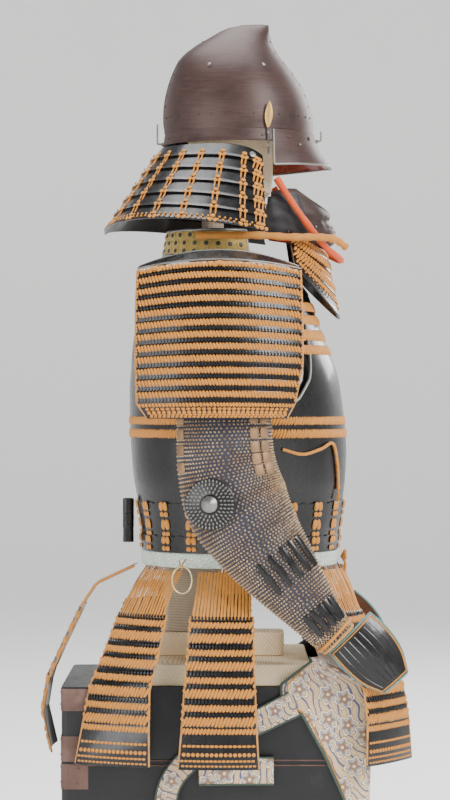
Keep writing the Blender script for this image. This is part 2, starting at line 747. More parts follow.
CAMERA = SimpleNamespace(x=-4.0, y=-0.01725, z=0.904, lens=109.08)


def make_stage(sizes):
    """A pale floor that sweeps up into a backdrop, soft lights and the camera."""
    scene = bpy.context.scene
    far, bend, tall, parts = 12.0, 2.5, 7.0, 96
    turn = np.linspace(0, math.pi / 2, 16)
    profile = [(0.02, 0.0), (1.0, 0.0), (4.0, 0.0)]
    profile += [(far - bend + bend * math.sin(a), bend - bend * math.cos(a)) for a in turn]
    profile.append((far, tall))
    round_way = np.arange(parts) / parts * 2 * math.pi
    points = [(r * math.cos(a), r * math.sin(a), z - 0.0005) for r, z in profile
              for a in round_way]
    faces = []
    for k in range(len(profile) - 1):
        for i in range(parts):
            j = (i + 1) % parts
            faces.append((k * parts + i, (k + 1) * parts + i, (k + 1) * parts + j, k * parts + j))
    faces.append(tuple(range(parts)))
    mesh = bpy.data.meshes.new("studio_sweep")
    mesh.from_pydata(points, [], faces)
    mesh.materials.append(FINISHES["pale_floor"])
    mesh.shade_smooth()
    sweep = bpy.data.objects.new("studio_sweep", mesh)
    scene.collection.objects.link(sweep)

    camera_data = bpy.data.cameras.new("side_camera")
    camera_data.lens = CAMERA.lens
    camera_data.sensor_width = 36
    camera_data.clip_end = 60
    camera = bpy.data.objects.new("side_camera", camera_data)
    camera.location = (CAMERA.x, CAMERA.y, CAMERA.z)
    camera.rotation_euler = (math.pi / 2, 0, -math.pi / 2)
    scene.collection.objects.link(camera)
    scene.camera = camera

    for name, place, aim, size, power_w in (
        ("key_light", (-3.4, -3.0, 3.6), (0, -0.1, 0.9), 2.0, sizes.key_light),
        ("fill_light", (-3.6, 3.4, 1.8), (0, 0, 0.8), 2.6, sizes.key_light * 0.42),
        ("top_light", (0.6, 0.2, 4.2), (0, 0, 0.8), 2.4, sizes.key_light * 0.5),
        ("rear_light", (3.2, -2.6, 2.6), (0, 0, 1.0), 2.2, sizes.key_light * 0.4),
    ):
        light = bpy.data.lights.new(name, "AREA")
        light.size = size
        light.energy = power_w
        lamp = bpy.data.objects.new(name, light)
        lamp.location = place
        lamp.rotation_euler = aim_turn(place, aim)
        scene.collection.objects.link(lamp)
    world = bpy.data.worlds.new("studio_world")
    world.use_nodes = True
    background = world.node_tree.nodes["Background"]
    background.inputs[0].default_value = (0.86, 0.88, 0.92, 1)
    background.inputs[1].default_value = sizes.world_light
    scene.world = world


def aim_turn(place, aim):
    """The turn that points a lamp's -z from one place to another."""
    return (Vector(aim) - Vector(place)).to_track_quat("-Z", "Y").to_euler()


# ------------------------------------------------------------------ cords

HELMET_CORD = [(-92, -58, 1262), (-88, -84, 1222), (-76, -112, 1184), (-56, -140, 1152),
               (-22, -164, 1136)]
NECK_CORD = [(-112, 70, 1168), (-118, 20, 1168), (-112, -36, 1168), (-98, -84, 1166),
             (-86, -121, 1167), (-64, -153, 1165), (-44, -172, 1154)]
SIDE_TIE = [(-66, 826), (-98, 818), (-128, 826), (-148, 834), (-156, 800), (-158, 764)]
RING_TOP = (-205, 92, 643)
RING_LACE = [(22, 10, -5), (7, 6.5, -2.5), (0, 3.7, 0), (-3.7, 0, 0), (0, -3.7, 0), (5, 0, 2.5),
             (22, 8, 5)]


def run_length(points):
    return float(np.linalg.norm(np.diff(np.asarray(points), axis=0), axis=1).sum())


def free_cord(form, nodes, slot):
    """Builds a free cord and states its facts."""
    piece = form.build(replaces=nodes, slot=slot)
    return piece


def make_cords(sizes):
    """The helmet cord, the neck cord, the side tie and the lace of the ring."""
    half = HELMET_CORD + [(-x, y, z) for x, y, z in reversed(HELMET_CORD[:-1])]
    half.insert(len(HELMET_CORD), (22, -164, 1136))
    path = dome_path(half, 90)
    form = Form("helmet_cord_silk", "orange_pad")
    length = np.linspace(0, 1, len(path))
    soft = 1 + 0.05 * np.sin(length * 70) + 0.04 * np.sin(length * 31 + 1)
    form.tube(path, 5.4 * soft, sides=18)
    free_cord(form, ["helmet_cord"], "orange_cord")

    path = dome_path(NECK_CORD, 90)
    form = Form("neck_cord_silk", "ochre_pad")
    length = np.linspace(0, 1, len(path))
    bulge = 1 + 0.09 * np.sin(length * 64) + 0.05 * np.sin(length * 23 + 2)
    form.tube(path, 6.1 * bulge, sides=18)
    free_cord(form, ["neck_cord"], "ochre_cord")

    row = CUIRASS_PROFILE
    path = []
    for y, z in SIDE_TIE:
        size = row.by("z", np.array(float(z)))
        share = min(1.0, abs(y) / float(size.front + 4))
        sine = (1 - share ** (2 / 0.86)) ** 0.43
        path.append((-float(size.half + 4) * sine, y, z))
    path = dome_path(path, 70)
    form = Form("side_tie_silk", "ochre_silk")
    form.tube(path, 2.5, sides=12, ply=0.08, turns=0.9)
    end = path[-1]
    knot = Form("side_tie_tassel", "ochre_silk")
    tassel = np.linspace(0, 1, 9)
    for k in range(14):
        angle = k * 2.4
        spread = 0.9 + 2.4 * (k / 14)
        strand = end + np.stack([
            -1.5 - spread * np.cos(angle) * tassel * 0.6, spread * np.sin(angle) * tassel,
            -21 * tassel,
        ], -1)
        knot.tube(strand, 0.7, sides=5)
    knot.tube(end + xyz(np.zeros(4), 0, np.linspace(2, -4, 4)), (2.6, 3.4, 3.6, 3.0), sides=10)
    tassel_piece = knot.build(slot="ochre_lacing")
    free_cord(form, ["side_tie_cord"], "ochre_lacing")

    top = np.array(RING_TOP, float)
    path = dome_path([top + (x, y, z) for x, z, y in RING_LACE], 60)
    form = Form("ring_lace_silk", "ochre_silk")
    form.tube(path, 1.0, sides=10, ply=0.1, turns=1.6)
    free_cord(form, ["ring_lace"], "ochre_lacing")


CUIRASS_PROFILE = Profile(CUIRASS)


# ------------------------------------------------------------------ helmet, mask and neck

BOWL_PROFILE = Profile(BOWL)


def bowl_point(turn, z, out):
    """A point on the bowl; turn is in degrees from the front towards the right side."""
    z = np.asarray(z, float)
    size = bowl_sizes(z)
    sine, cosine = turned(turn)
    x = -power(sine, 1.08) * size[2] * (1 + out / np.maximum(size[2], 12))
    reach = np.where(cosine >= 0, size[1], size[0])
    return xyz(x, -cosine * (reach + out), z)


def bowl_sizes(z):
    """The bowl's reach behind, its reach before and its half width at a height."""
    fine = BOWL_PROFILE.at(np.linspace(0, 1, 400))
    return [np.interp(z, fine.z, getattr(fine, name)) for name in ("back", "front", "half")]


def bowl_surface(sweep=180.0, low=1343.0, high=1520.0, middle=0.0):
    def shape(u, v):
        z = high + (low - high) * np.clip(v, 0, 1)
        return bowl_point(middle + u * sweep, z, 0.0)
    return Surface(shape)


def make_helmet_bowl(sizes):
    """The riveted bowl with its ridge, its engraved line and its row of rivets."""
    form = Form("helmet_bowl_shell", "russet_iron", "dark_silver", "black_lacquer")
    turns = np.linspace(-180, 180, 145)[:-1]
    heights = np.concatenate([np.linspace(1342.8, 1500, 40), np.linspace(1504, 1522.5, 9)])
    turn, z = np.meshgrid(turns, heights)
    out = 0.6 * np.exp(-((z - 1373) / 1.1) ** 2) - 0.5 * np.exp(-((z - 1376) / 0.9) ** 2)
    for middle in (0, 180):
        away = np.abs((turn - middle + 180) % 360 - 180)
        ridge = np.exp(-(away / 4.5) ** 2) * np.clip((1519 - z) / 30, 0, 1)
        out = out + 2.2 * ridge
    shell = bowl_point(turn, z, out + 0.8)
    form.grid(shell, 0, True, np.stack([turn * 0.0019, -z * MM], -1))
    form.grid(bowl_point(turn, z, -2.2)[:, ::-1], 2, True)
    top = bowl_point(np.linspace(-180, 180, 33)[:-1], 1522.4 + np.zeros(32), 0.4)
    cap = np.concatenate([top, [[0, -37, 1523.6]]])
    form.put(cap, [(k, (k + 1) % 32, 32) for k in range(32)])

    around = bowl_surface(180, 1343, 1520)
    def at(turn, z, out):
        v = (z - 1520) / (1343 - 1520)
        return around.frame(np.asarray(turn) / 180.0, np.asarray(v) + 0 * np.asarray(turn), out)
    rivets = np.concatenate([np.linspace(14, 166, 15), -np.linspace(14, 166, 15)])
    form.stamp(DOT, at(rivets, 1366, 0.7), (2.0, 2.0, 1.3), 0)
    for side in (-1, 1):
        for middle in (0, 180):
            zs = np.array([1386, 1404, 1422, 1440, 1458, 1476, 1494.0])
            form.stamp(DOT, at(zs * 0 + middle + side * 8.5, zs, 0.8), (1.7, 1.7, 1.1), 0)
    for turn in (62, -62, 118, -118):
        form.stamp(DOT, at(np.array([turn]), np.array([1448.0]), 0.8), (3.4, 3.4, 2.0), 1)
        form.stamp(DOT, at(np.array([turn]), np.array([1448.0]), 2.6), (1.5, 1.5, 1.3), 1)
    plume = at(np.array([180.0]), np.array([1462.0]), 0.8)
    form.stamp(pad_shape(16, 2.0, ((1, 0), (0.8, 0.5), (0.62, 0.5))), plume, (6, 6, 2.4), 1)
    form.build(["helmet_bowl"], slot="russet_iron", sharp=32)

    form = Form("helmet_band_shell", "russet_iron", "dark_silver", "black_lacquer")
    turns = np.linspace(-180, 180, 121)[:-1]
    rows = [(1342.6, 1.0), (1341.6, 1.9), (1338, 2.2), (1330, 2.5), (1325, 3.0), (1323, 3.8),
            (1322, 3.4)]
    ring = np.stack([bowl_point(turns, z + 0 * turns, o) for z, o in rows])
    form.grid(ring, 0, True)
    inner = np.stack([bowl_point(turns, z + 0 * turns, -0.2 + 0 * o) for z, o in rows])
    form.grid(inner[:, ::-1], 2, True)
    form.grid(np.stack([ring[-1], inner[-1]]), 0, True)
    form.grid(np.stack([ring[0], inner[0]]), 0, True)
    lower = bowl_surface(180, 1318, 1343)
    turns = np.concatenate([np.linspace(22, 158, 9), -np.linspace(22, 158, 9)])
    form.stamp(DOT, lower.frame(turns / 180, 0 * turns + 0.5, 2.2), (2.1, 2.1, 1.4), 0)
    form.build(["helmet_band"], slot="russet_iron", sharp=32)


def visor_surface():
    def shape(u, v):
        turn = u * 64.0
        frontal = np.cos(np.radians(1.3 * turn)) ** 2
        flare = (2 + 25 * frontal) * power(v, 1.7)
        low = 1284 + 3.5 * np.sin(math.pi * power(np.abs(u), 0.7))
        z = 1341 + (low - 1341) * v
        point = bowl_point(turn, np.maximum(z, 1318), 3.6 + flare)
        point[..., 2] = z
        return point
    return Surface(shape)


def make_visor(sizes):
    """The peak with its rolled silver rim and red underside."""
    surface = visor_surface()
    form = Form("visor_plate", "russet_iron", "red_lacquer", "dark_silver")
    us = np.linspace(-1, 1, 61)
    vs = np.linspace(0, 1, 12)
    form.wall(surface, us, vs, 1.1, -1.1, 0, lining=1)
    rim = surface.at(us, us * 0 + 1.0)
    form.tube(rim, 1.9, 2, sides=8)
    for side in (-1, 1):
        line = surface.at(side + 0 * vs, vs)
        form.tube(line, 1.5, 2, sides=6)
    spots = np.array([-0.8, -0.4, 0.0, 0.4, 0.8])
    form.stamp(DOT, surface.frame(spots, spots * 0 + 0.2, 1.1), (3.4, 3.4, 1.6), 0)
    form.stamp(DOT, surface.frame(np.array([-0.62, 0.62]), np.array([0.42, 0.42]), 1.1),
               (2.0, 2.0, 1.4), 2)
    form.build(["helmet_visor"], slot="russet_iron")


def make_crest_fittings(sizes):
    """The hooks before and behind, and the leaf-shaped prongs at the sides."""
    form = Form("helmet_fittings", "dark_silver", "gilt", "black_lacquer")
    for turn, z, out, top, reach in ((0, 1331, 8.5, 1347, 7), (180, 1326, 4.6, 1359, 8)):
        start = bowl_point(np.array([float(turn)]), np.array([float(z)]), out)[0]
        away = np.array([0, math.copysign(1, start[1]), 0])
        path = [start, start + away * reach * 0.75 + (0, 0, 0.4), start + away * reach + (0, 0, 3),
                start + away * reach + (0, 0, top - z)]
        form.tube(dome_path(path, 14), 1.5, 0, sides=8)
        form.tube([start - away * 2, start + away * 1.5], 3.4, 0, sides=12)
    for side in (-1, 1):
        path = []
        for z, out in ((1322, 6.5), (1298, 7.0), (1345, 6.5)):
            p = bowl_point(np.array([69.0]), np.array([float(max(z, 1318))]), out)[0]
            path.append((p[0], p[1], z))
        low, mid, top = np.array(path[1]), np.array(path[0]), np.array(path[2])
        stem = np.array([top, mid, low]) * (-side, 1, 1)
        line = dome_path(stem, 10)
        form.tube(line, 1.5, 2, sides=8)
        for spot in line[[2, 6, 9]]:
            form.tube([spot + (side * 0.5, 0, 0), spot + (side * 1.6, 0, 0)], 2.0, 0, sides=8)
        base = stem[0]
        leaf_z = np.linspace(0, 43, 18)
        half = 6.4 * np.sin(np.linspace(0.22, math.pi, 18)) ** 0.8
        leaf_x = base[0] + side * 0.5
        cols = np.linspace(-1, 1, 9)
        rows = []
        thick = 1.7 * np.sqrt(np.clip(1 - cols**2, 0, 1))
        for h, w in zip(leaf_z, half):
            rows.append(np.stack([leaf_x + thick * side,
                                  base[1] + cols * w - h * 0.06, base[2] - 2 + h + 0 * cols], -1))
        front = np.array(rows)
        back = front.copy()
        back[..., 0] = 2 * leaf_x - front[..., 0]
        form.grid(front, 1)
        form.grid(back[:, ::-1], 1)
    form.build(["helmet_hook_front", "helmet_hook_rear", "helmet_side_prong_right",
                "helmet_side_prong_left"], slot="silver")


def neck_guard_surface():
    def shape(u, v):
        sweep = np.radians(u * (107 + 16 * v))
        centre, long, half = 2 + 48 * v, 128 + 42 * v, 107 + 82 * v
        top = 1317 - 20 * np.abs(u) ** 10
        rim = 1177 + 16 * np.sin(math.pi * power(np.abs(u), 0.9)) - 6 * u * u
        return xyz(-half * np.sin(sweep), centre + long * np.cos(sweep), top + (rim - top) * v)
    return Surface(shape)


def lame_edges(start, end, count):
    return [start + (end - start) * k / count for k in range(count + 1)]


def make_neck_guard(sizes):
    """Six black lames laced together with spaced pairs of laces."""
    surface = neck_guard_surface()
    form = Form("neck_guard_lames", "black_lacquer", "inner_lacquer", "dark_silver")
    edges = lame_edges(0.0, 1.0, 6)
    us = np.linspace(-1, 1, 81)
    for top, low in zip(edges[:-1], edges[1:]):
        start = top - (0.012 if top > 0 else 0)
        vs = np.linspace(start, low, 9)
        out = 0.6 + 2.6 * (vs - start) / (low - start) + 1.0 * np.exp(-((low - vs) / 0.012) ** 2)
        form.wall(surface, us, vs, out, -1.6 + 2.0 * (vs - start) / (low - start), 0, lining=1)
    rim = surface.at(us, us * 0 + 1.0, 2.2)
    form.tube(rim, 1.9, 0, sides=8)
    for side in (-0.93, 0.93):
        spot = surface.frame(np.array([side]), np.array([0.085]), 3.4)
        flower = pad_shape(16, 2.0, ((1, 0), (0.9, 0.6), (0.5, 0.8)))
        form.stamp(flower, spot, (5.6, 5.6, 2.2), 2)
        form.stamp(DOT, surface.frame(np.array([side]), np.array([0.085]), 5.0), (2.2, 2.2, 1.8), 2)
    form.build(["neck_guard"], slot="black_lacquer")

    form = Form("neck_guard_laces", "ochre_silk", "white_thread")
    columns = np.concatenate([np.linspace(-0.88, 0.88, 14), [-0.975, 0.975, -0.955, 0.955]])
    for k in range(6):
        top, low = edges[k], edges[k + 1]
        tall = surface.height(top, low)
        place = low - (low - top) * 0.38
        frames = surface.frame(columns, columns * 0 + place, 3.2)
        form.stamp(LACE, frames, (4.4, 3.0, 2.2), 0, 0.0)
        for lean in (-1, 1):
            below = columns * 0 + place + (low - top) * 0.3
            wings = surface.frame(columns + lean * 0.012, below, 3.8)
            form.stamp(LACE, wings, (3.9, tall * 0.12, 1.9), 0, lean * 0.62)
        if k < 5:
            for step in (-1, 1):
                path = surface.frame(columns + step * 0.011,
                                     columns * 0 + low + (low - top) * 0.06, 2.0)
                form.stamp(LACE, path, (1.5, tall * 0.42, 1.3), 0, 0.0)
    for v, gap in ((0.945, 0.5), (0.975, 0.0)):
        u = across(surface, v, 9.0, -0.98, 0.98, inset=gap)
        form.stamp(DOT, surface.frame(u, u * 0 + v, 3.4), (1.9, 1.9, 1.5), 0)
    form.build([], slot="ochre_lacing")


def mask_point(u, v):
    top = 1208 + 38 * np.minimum(1, 1.6 * np.abs(u)) ** 1.5 - 22 * np.maximum(0, np.abs(u) - 0.75)
    low = 1154 + 18 * np.abs(u) ** 1.5
    z = top + (low - top) * v
    fine = MASK_PROFILE.at(np.linspace(0, 1, 300))
    front = np.interp(z, fine.z[::-1], fine.front[::-1])
    half = np.interp(z, fine.z[::-1], fine.half[::-1])
    sweep = np.radians(u * 92)
    return xyz(-half * power(np.sin(sweep), 0.9), -52 - (front - 52) * np.cos(sweep), z)


MASK_PROFILE = Profile(MASK)


def bump(x, middle, wide):
    return np.exp(-((x - middle) / wide) ** 2)


def make_mask(sizes):
    """A calm half mask: plain cheeks, closed lips, a round chin and a rim at its top."""
    surface = Surface(mask_point, (0, -52))
    form = Form("mask_plate", "mask_iron", "red_lacquer", "black_leather", "dark_silver")
    us = np.concatenate([np.linspace(-1, -0.5, 26)[:-1], np.linspace(-0.5, 0.5, 81),
                         np.linspace(0.5, 1, 26)[1:]])
    vs = np.linspace(0, 1, 60)
    u, v = np.meshgrid(us, vs)
    z = surface.at(u, v)[..., 2]
    side = np.abs(u)
    relief = 1.3 * bump(v, 0.0, 0.035)
    relief += 2.2 * bump(side, 0.42, 0.16) * bump(z, 1204, 12)
    relief -= 1.3 * bump(side, 0.27 + 0.05 * v, 0.05) * bump(z, 1193, 12)
    relief += 2.2 * bump(side, 0.0, 0.17) * bump(z, 1188.5, 2.8)
    relief += 2.6 * bump(side, 0.0, 0.15) * bump(z, 1181.2, 2.8)
    relief -= 2.2 * bump(side, 0.0, 0.21) * bump(z, 1185.0, 1.0)
    relief -= 1.6 * bump(side, 0.0, 0.12) * bump(z, 1176.2, 2.2)
    relief += 2.0 * bump(side, 0.0, 0.17) * bump(z, 1166.0, 6.0)
    relief -= 0.8 * bump(side, 0.0, 0.03) * bump(z, 1196.0, 4.0)
    relief += 0.9 * bump(v, 1.0, 0.03)
    outer, _, _, _ = surface.frame(u, v, relief + 0.8)
    inner, _, _, _ = surface.frame(u, v, -1.6)
    form.grid(outer, 0)
    form.grid(inner[:, ::-1], 1)
    for row in (0, -1):
        form.grid(np.stack([outer[row], inner[row]]), 0)
    for column in (0, -1):
        form.grid(np.stack([outer[:, column], inner[:, column]]), 0)
    form.tube(surface.at(us, us * 0, 0.6), 1.3, 0, sides=8)
    for s in (-1, 1):
        spot = surface.frame(np.array([s * 0.5]), np.array([0.66]), 1.0)
        form.stamp(pad_shape(12, 2.0), spot, (2.6, 2.6, 3.6), 3)
        spot = surface.frame(np.array([s * 0.86]), np.array([0.35]), 1.0)
        form.stamp(DOT, spot, (2.2, 2.2, 1.4), 3)
    form.build(["mask"], slot="mask_iron", sharp=50)

    pad = Form("mask_side_pads", "black_leather", "brown_leather")
    for s in (-1, 1):
        us2 = s * np.linspace(0.62, 1.04, 22)
        vs2 = np.linspace(0.1, 0.97, 18)
        uu, vv = np.meshgrid(us2, vs2)
        fold = 0.7 * np.sin(vv * 21 + 3 * np.abs(uu)) + 0.4 * np.sin(np.abs(uu) * 38 + 5 * vv)
        edge = np.clip(np.minimum.reduce([np.abs(np.abs(uu) - 0.62), 1.04 - np.abs(uu),
                                          (vv - 0.1) / 2, (0.97 - vv) / 2]) / 0.05, 0, 1)
        sheet = surface.at(uu, vv, 2.1 + (1.6 + fold) * np.sqrt(edge))
        pad.grid(sheet, 0)
        pad.grid(surface.at(uu, vv, 1.4)[:, ::-1], 1)
    pad.build([], slot="mask_iron")


def throat_surface():
    def shape(u, v):
        sweep = np.radians(u * 76)
        top = 1146 + 42 * (1 - np.cos(sweep))
        low = 1038 + 108 * (1 - np.cos(sweep))
        half, centre, front = 80 + 21 * v, -56 - 6 * v, 86 + 15 * v
        return xyz(-half * np.sin(sweep), centre - front * np.cos(sweep), top + (low - top) * v)
    return Surface(shape, (0, -56))


def make_throat_guard(sizes):
    """Three laced lames hanging from the mask."""
    surface = throat_surface()
    form = Form("throat_guard_lames", "black_lacquer", "brown_lacquer")
    edges = lame_edges(0.0, 1.0, 3)
    us = np.linspace(-1, 1, 61)
    for top, low in zip(edges[:-1], edges[1:]):
        vs = np.linspace(top, low, 8)
        out = 0.4 + 2.2 * (vs - top) / (low - top)
        form.wall(surface, us, vs, out, -1.6 + 1.6 * (vs - top) / (low - top), 0, lining=0)
    for s in (-1, 1):
        form.tube(surface.at(s + 0 * np.linspace(0, 1, 12), np.linspace(0, 1, 12), 1.2), 1.5, 1,
                  sides=6)
    form.tube(surface.at(us, us * 0 + 1, 1.2), 1.7, 0, sides=8)
    form.build(["throat_guard"], slot="ochre_lacing")
    form = Form("throat_guard_laces", "ochre_silk")
    for k in range(3):
        top, low = edges[k], edges[k + 1]
        part = low - top
        lace_band(form, surface, top + part * 0.04, top + part * 0.3, 5.2, 0.1, 1.5, 1.0,
                  start=-0.95, end=0.95, seed=k)
        if k < 2:
            lace_band(form, surface, top + part * 0.42, top + part * 0.86, 5.2, 0.42, 2.1, 2.0,
                      start=-0.96, end=0.96, seed=k + 9)
    u = across(surface, 0.88, 8.5, -0.93, 0.93)
    form.stamp(DOT, surface.frame(u, u * 0 + 0.86, 2.4), (1.7, 1.7, 1.4), 0)
    form.stamp(LACE, surface.frame(u, u * 0 + 0.78, 2.2), (3.0, 2.2, 1.5), 0)
    form.build([], slot="ochre_lacing")


def make_collar(sizes):
    """A standing collar of small gilt hexagons with dark round centres and a corded edge."""
    def shape(u, v):
        sweep = np.radians(u * 132)
        radius = 77 + 7 * v
        return xyz(-radius * np.sin(sweep), 42 + radius * np.cos(sweep),
                   1180 + (1141 - 10 * u * u - 1180) * v)
    surface = Surface(shape, (0, 42))
    form = Form("collar_cloth", "gilt_cloth", "navy_cloth", "dark_silver", "black_leather", "gilt")
    us, vs = np.linspace(-1, 1, 73), np.linspace(0, 1, 8)
    form.wall(surface, us, vs, 0.8, -2, 0, lining=1)
    hexagon = pad_shape(6, 2.0, ((1.0, 0.0), (0.86, 0.8), (0.6, 1.0)))
    core = pad_shape(12, 2.0, ((1.0, 0.0), (0.8, 0.7)))
    for row, v in enumerate((0.2, 0.52, 0.84)):
        u = across(surface, v, 19.0, -0.97, 0.97, inset=0.5 if row % 2 else 0.25)
        frames = surface.frame(u, u * 0 + v, 0.8)
        form.stamp(hexagon, frames, (8.6, 8.0, 1.5), 0)
        form.stamp(core, surface.frame(u, u * 0 + v, 2.2), (4.0, 4.0, 1.2), 3)
    for v in (0.0, 1.0):
        edge = surface.at(us, us * 0 + v)
        form.tube(edge, 2.3, 2, sides=12, ply=0.18, turns=0.7)
    for s in (-1, 1):
        form.tube(surface.at(s + 0 * vs, vs), 2.1, 2, sides=10, ply=0.18, turns=0.7)
    form.build(["collar"], slot="gilt_cloth")


# ------------------------------------------------------------------ cuirass and waist

FRONT_TOP = np.array(FRONT_EDGE[1], float)
BACK_TOP = np.array(BACK_EDGE[1], float)


def cuirass_point(turn, z, out):
    fine = CUIRASS_PROFILE.at(np.linspace(0, 1, 300))
    front, back, half = (np.interp(z, fine.z, getattr(fine, n)) for n in ("front", "back", "half"))
    sine, cosine = turned(turn)
    reach = np.where(cosine >= 0, front, back)
    return xyz(-power(sine, 0.86) * (half + out), -power(cosine, 0.86) * (reach + out), z)


def cuirass_surface(middle, edge, low):
    """One half of the cuirass between its top edge and a height."""
    def shape(u, v):
        turn = np.clip(u, -1.01, 1.01) * 89.6
        top = np.interp(np.abs(turn), edge[:, 0], edge[:, 1])
        return cuirass_point(middle + turn, top + (low - top) * v, 0.0)
    return Surface(shape)


def ring_surface(high, low, middle=0.0, sweep=89.6):
    def shape(u, v):
        return cuirass_point(middle + u * sweep, high + (low - high) * v + 0 * u, 0.0)
    return Surface(shape)


def make_cuirass(sizes):
    """The smooth front and back, their laced bands and two stepped lames below."""
    for name, middle, edge in (("cuirass_front", 0, FRONT_TOP), ("cuirass_back", 180, BACK_TOP)):
        form = Form(name + "_shell", "black_lacquer", "inner_lacquer", "dark_silver")
        surface = cuirass_surface(middle, edge, 734.0)
        us, vs = np.linspace(-1, 1, 97), np.linspace(0, 1, 30)
        form.wall(surface, us, vs, 0.9, -2.6, 0, lining=1)
        form.tube(surface.at(us, us * 0, -0.6), 2.4, 2, sides=8)
        for high, low, out in ((738, 683, 3.4), (686, 661, 6.0)):
            lame = ring_surface(high, low, middle)
            u, v = np.meshgrid(us, np.linspace(0, 1, 7))
            wave = 2.2 * np.abs(np.sin(u * math.pi * 12)) * (1 - v)
            outer = lame.at(u, v, out)
            outer[..., 2] += wave
            form.grid(outer, 0)
            inner = lame.at(u, v, out - 2.2)
            inner[..., 2] += wave
            form.grid(inner[:, ::-1], 1)
            form.grid(np.stack([outer[0], inner[0]]), 0)
            form.grid(np.stack([outer[-1], inner[-1]]), 0)
        form.build([name], slot="black_lacquer")
        laces = Form(name + "_laces", "ochre_silk", "black_lacquer")
        columns = np.linspace(-0.93, 0.93, 10)
        for high, low, out in ((739, 685, 4.6), (687, 661, 7.4)):
            lame = ring_surface(high, low, middle)
            if high > 700:
                blocks = ((0.08, 9.5, 7.5), (0.32, 9, 4.2), (0.62, 9.5, 8.5), (0.9, 9, 4.0))
            else:
                blocks = ((0.25, 9.5, 6), (0.75, 9, 4))
            for v, wide, tall in blocks:
                for side in (-1, 1):
                    step = side * 4.8 / lame.width(0.5) * 2
                    frames = lame.frame(columns + step, columns * 0 + v, out)
                    laces.stamp(LACE, frames, (wide / 2, tall, 2.0), 0, side * 0.12)
        spans = ((1062, 1046), (1041, 1024), (1017, 998), (992, 976)) if middle == 0 else ()
        for k, (high, low) in enumerate(spans):
            reach = 0.42 + 0.05 * k
            band = ring_surface(high, low, middle)
            lace_band(laces, band, 0.0, 1.0, 5.6, 0.42, 2.0, 1.0, start=-reach, end=reach, seed=k)
        for k, (high, low) in enumerate(((878, 864), (858, 843))):
            band = ring_surface(high, low, middle)
            lace_band(laces, band, 0.0, 1.0, 5.6, 0.42, 1.9, 0.9, start=-0.99, end=0.99,
                      seed=k + 5)
        laces.build([], slot="ochre_lacing")

    form = Form("waist_belt_cloth", "teal_brocade", "white_cloth")
    ring = [(637, 5.0), (638.5, 6.4), (648, 6.9), (658.5, 6.4), (660, 5.0)]
    turns = np.linspace(-180, 180, 145)[:-1]
    outer = np.stack([cuirass_point(turns, z + 0 * turns, o) for z, o in ring])
    inner = np.stack([cuirass_point(turns, z + 0 * turns, 3.6) for z, o in ring])
    flat = np.stack(np.meshgrid(turns * 0.0028, [-z * MM for z, _ in ring]), -1)
    form.grid(outer, 0, True, flat)
    form.grid(inner[:, ::-1], 1, True)
    form.grid(np.stack([outer[0], inner[0]]), 0, True)
    form.grid(np.stack([outer[-1], inner[-1]]), 0, True)
    form.build(["waist_belt"], slot="teal_brocade")
    bow = Form("front_bow", "ochre_silk")
    start = np.array([-30, -166, 648.0])
    for side in (-1, 1):
        loop = [start, start + (side * 12, -6, 9), start + (side * 24, -5, 4),
                start + (side * 13, -6, -2), start]
        bow.tube(dome_path(loop, 30), 2.2, sides=8, ply=0.1, turns=0.9)
        bow.tube(dome_path([start, start + (side * 6, -6, -10), start + (side * 9, -5, -24)], 20),
                 2.0, sides=8, ply=0.1, turns=0.9)
    bow.tube([start + (-4, -3, 0), start + (0, -5, 0), start + (4, -3, 0)], 4.2, sides=10)
    bow.build([], slot="ochre_lacing")


def make_straps(sizes):
    """The shoulder straps, padded and edged."""
    line = [(-84, 132, 1119), (-90, 116, 1126), (-94, 80, 1130), (-94, 30, 1128),
            (-90, -20, 1120), (-80, -62, 1106), (-66, -88, 1094)]
    path = dome_path(line, 40)
    for mirror in (False, True):
        name = "shoulder_strap_left" if mirror else "shoulder_strap_right"
        form = Form(name + "_pad", "brown_leather", "ochre_silk", "black_lacquer")
        cols = np.linspace(-1, 1, 13)
        top = path[:, None] + np.stack([cols * 22, 0 * cols, 1.2 + 1.6 * (1 - cols**4)], -1)[None]
        low = path[:, None] + np.stack([cols * 22, 0 * cols, -1.4 + 0 * cols], -1)[None]
        flat = np.stack(np.meshgrid(cols * 0.022, np.linspace(0, 0.26, 40)), -1)
        form.grid(top, 2, flat=flat)
        form.grid(low[:, ::-1], 0, flat=flat)
        for side in (0, -1):
            form.grid(np.stack([top[:, side], low[:, side]]), 0)
            form.tube(top[:, side], 1.8, 1, sides=8)
        for end in (0, -1):
            form.grid(np.stack([top[end], low[end]]), 0)
        form.build([name], mirror, slot="black_lacquer")


# ------------------------------------------------------------------ laced panels

GUARD_LACE_PITCH = 5.2
SKIRT_LACE_PITCH = 5.6


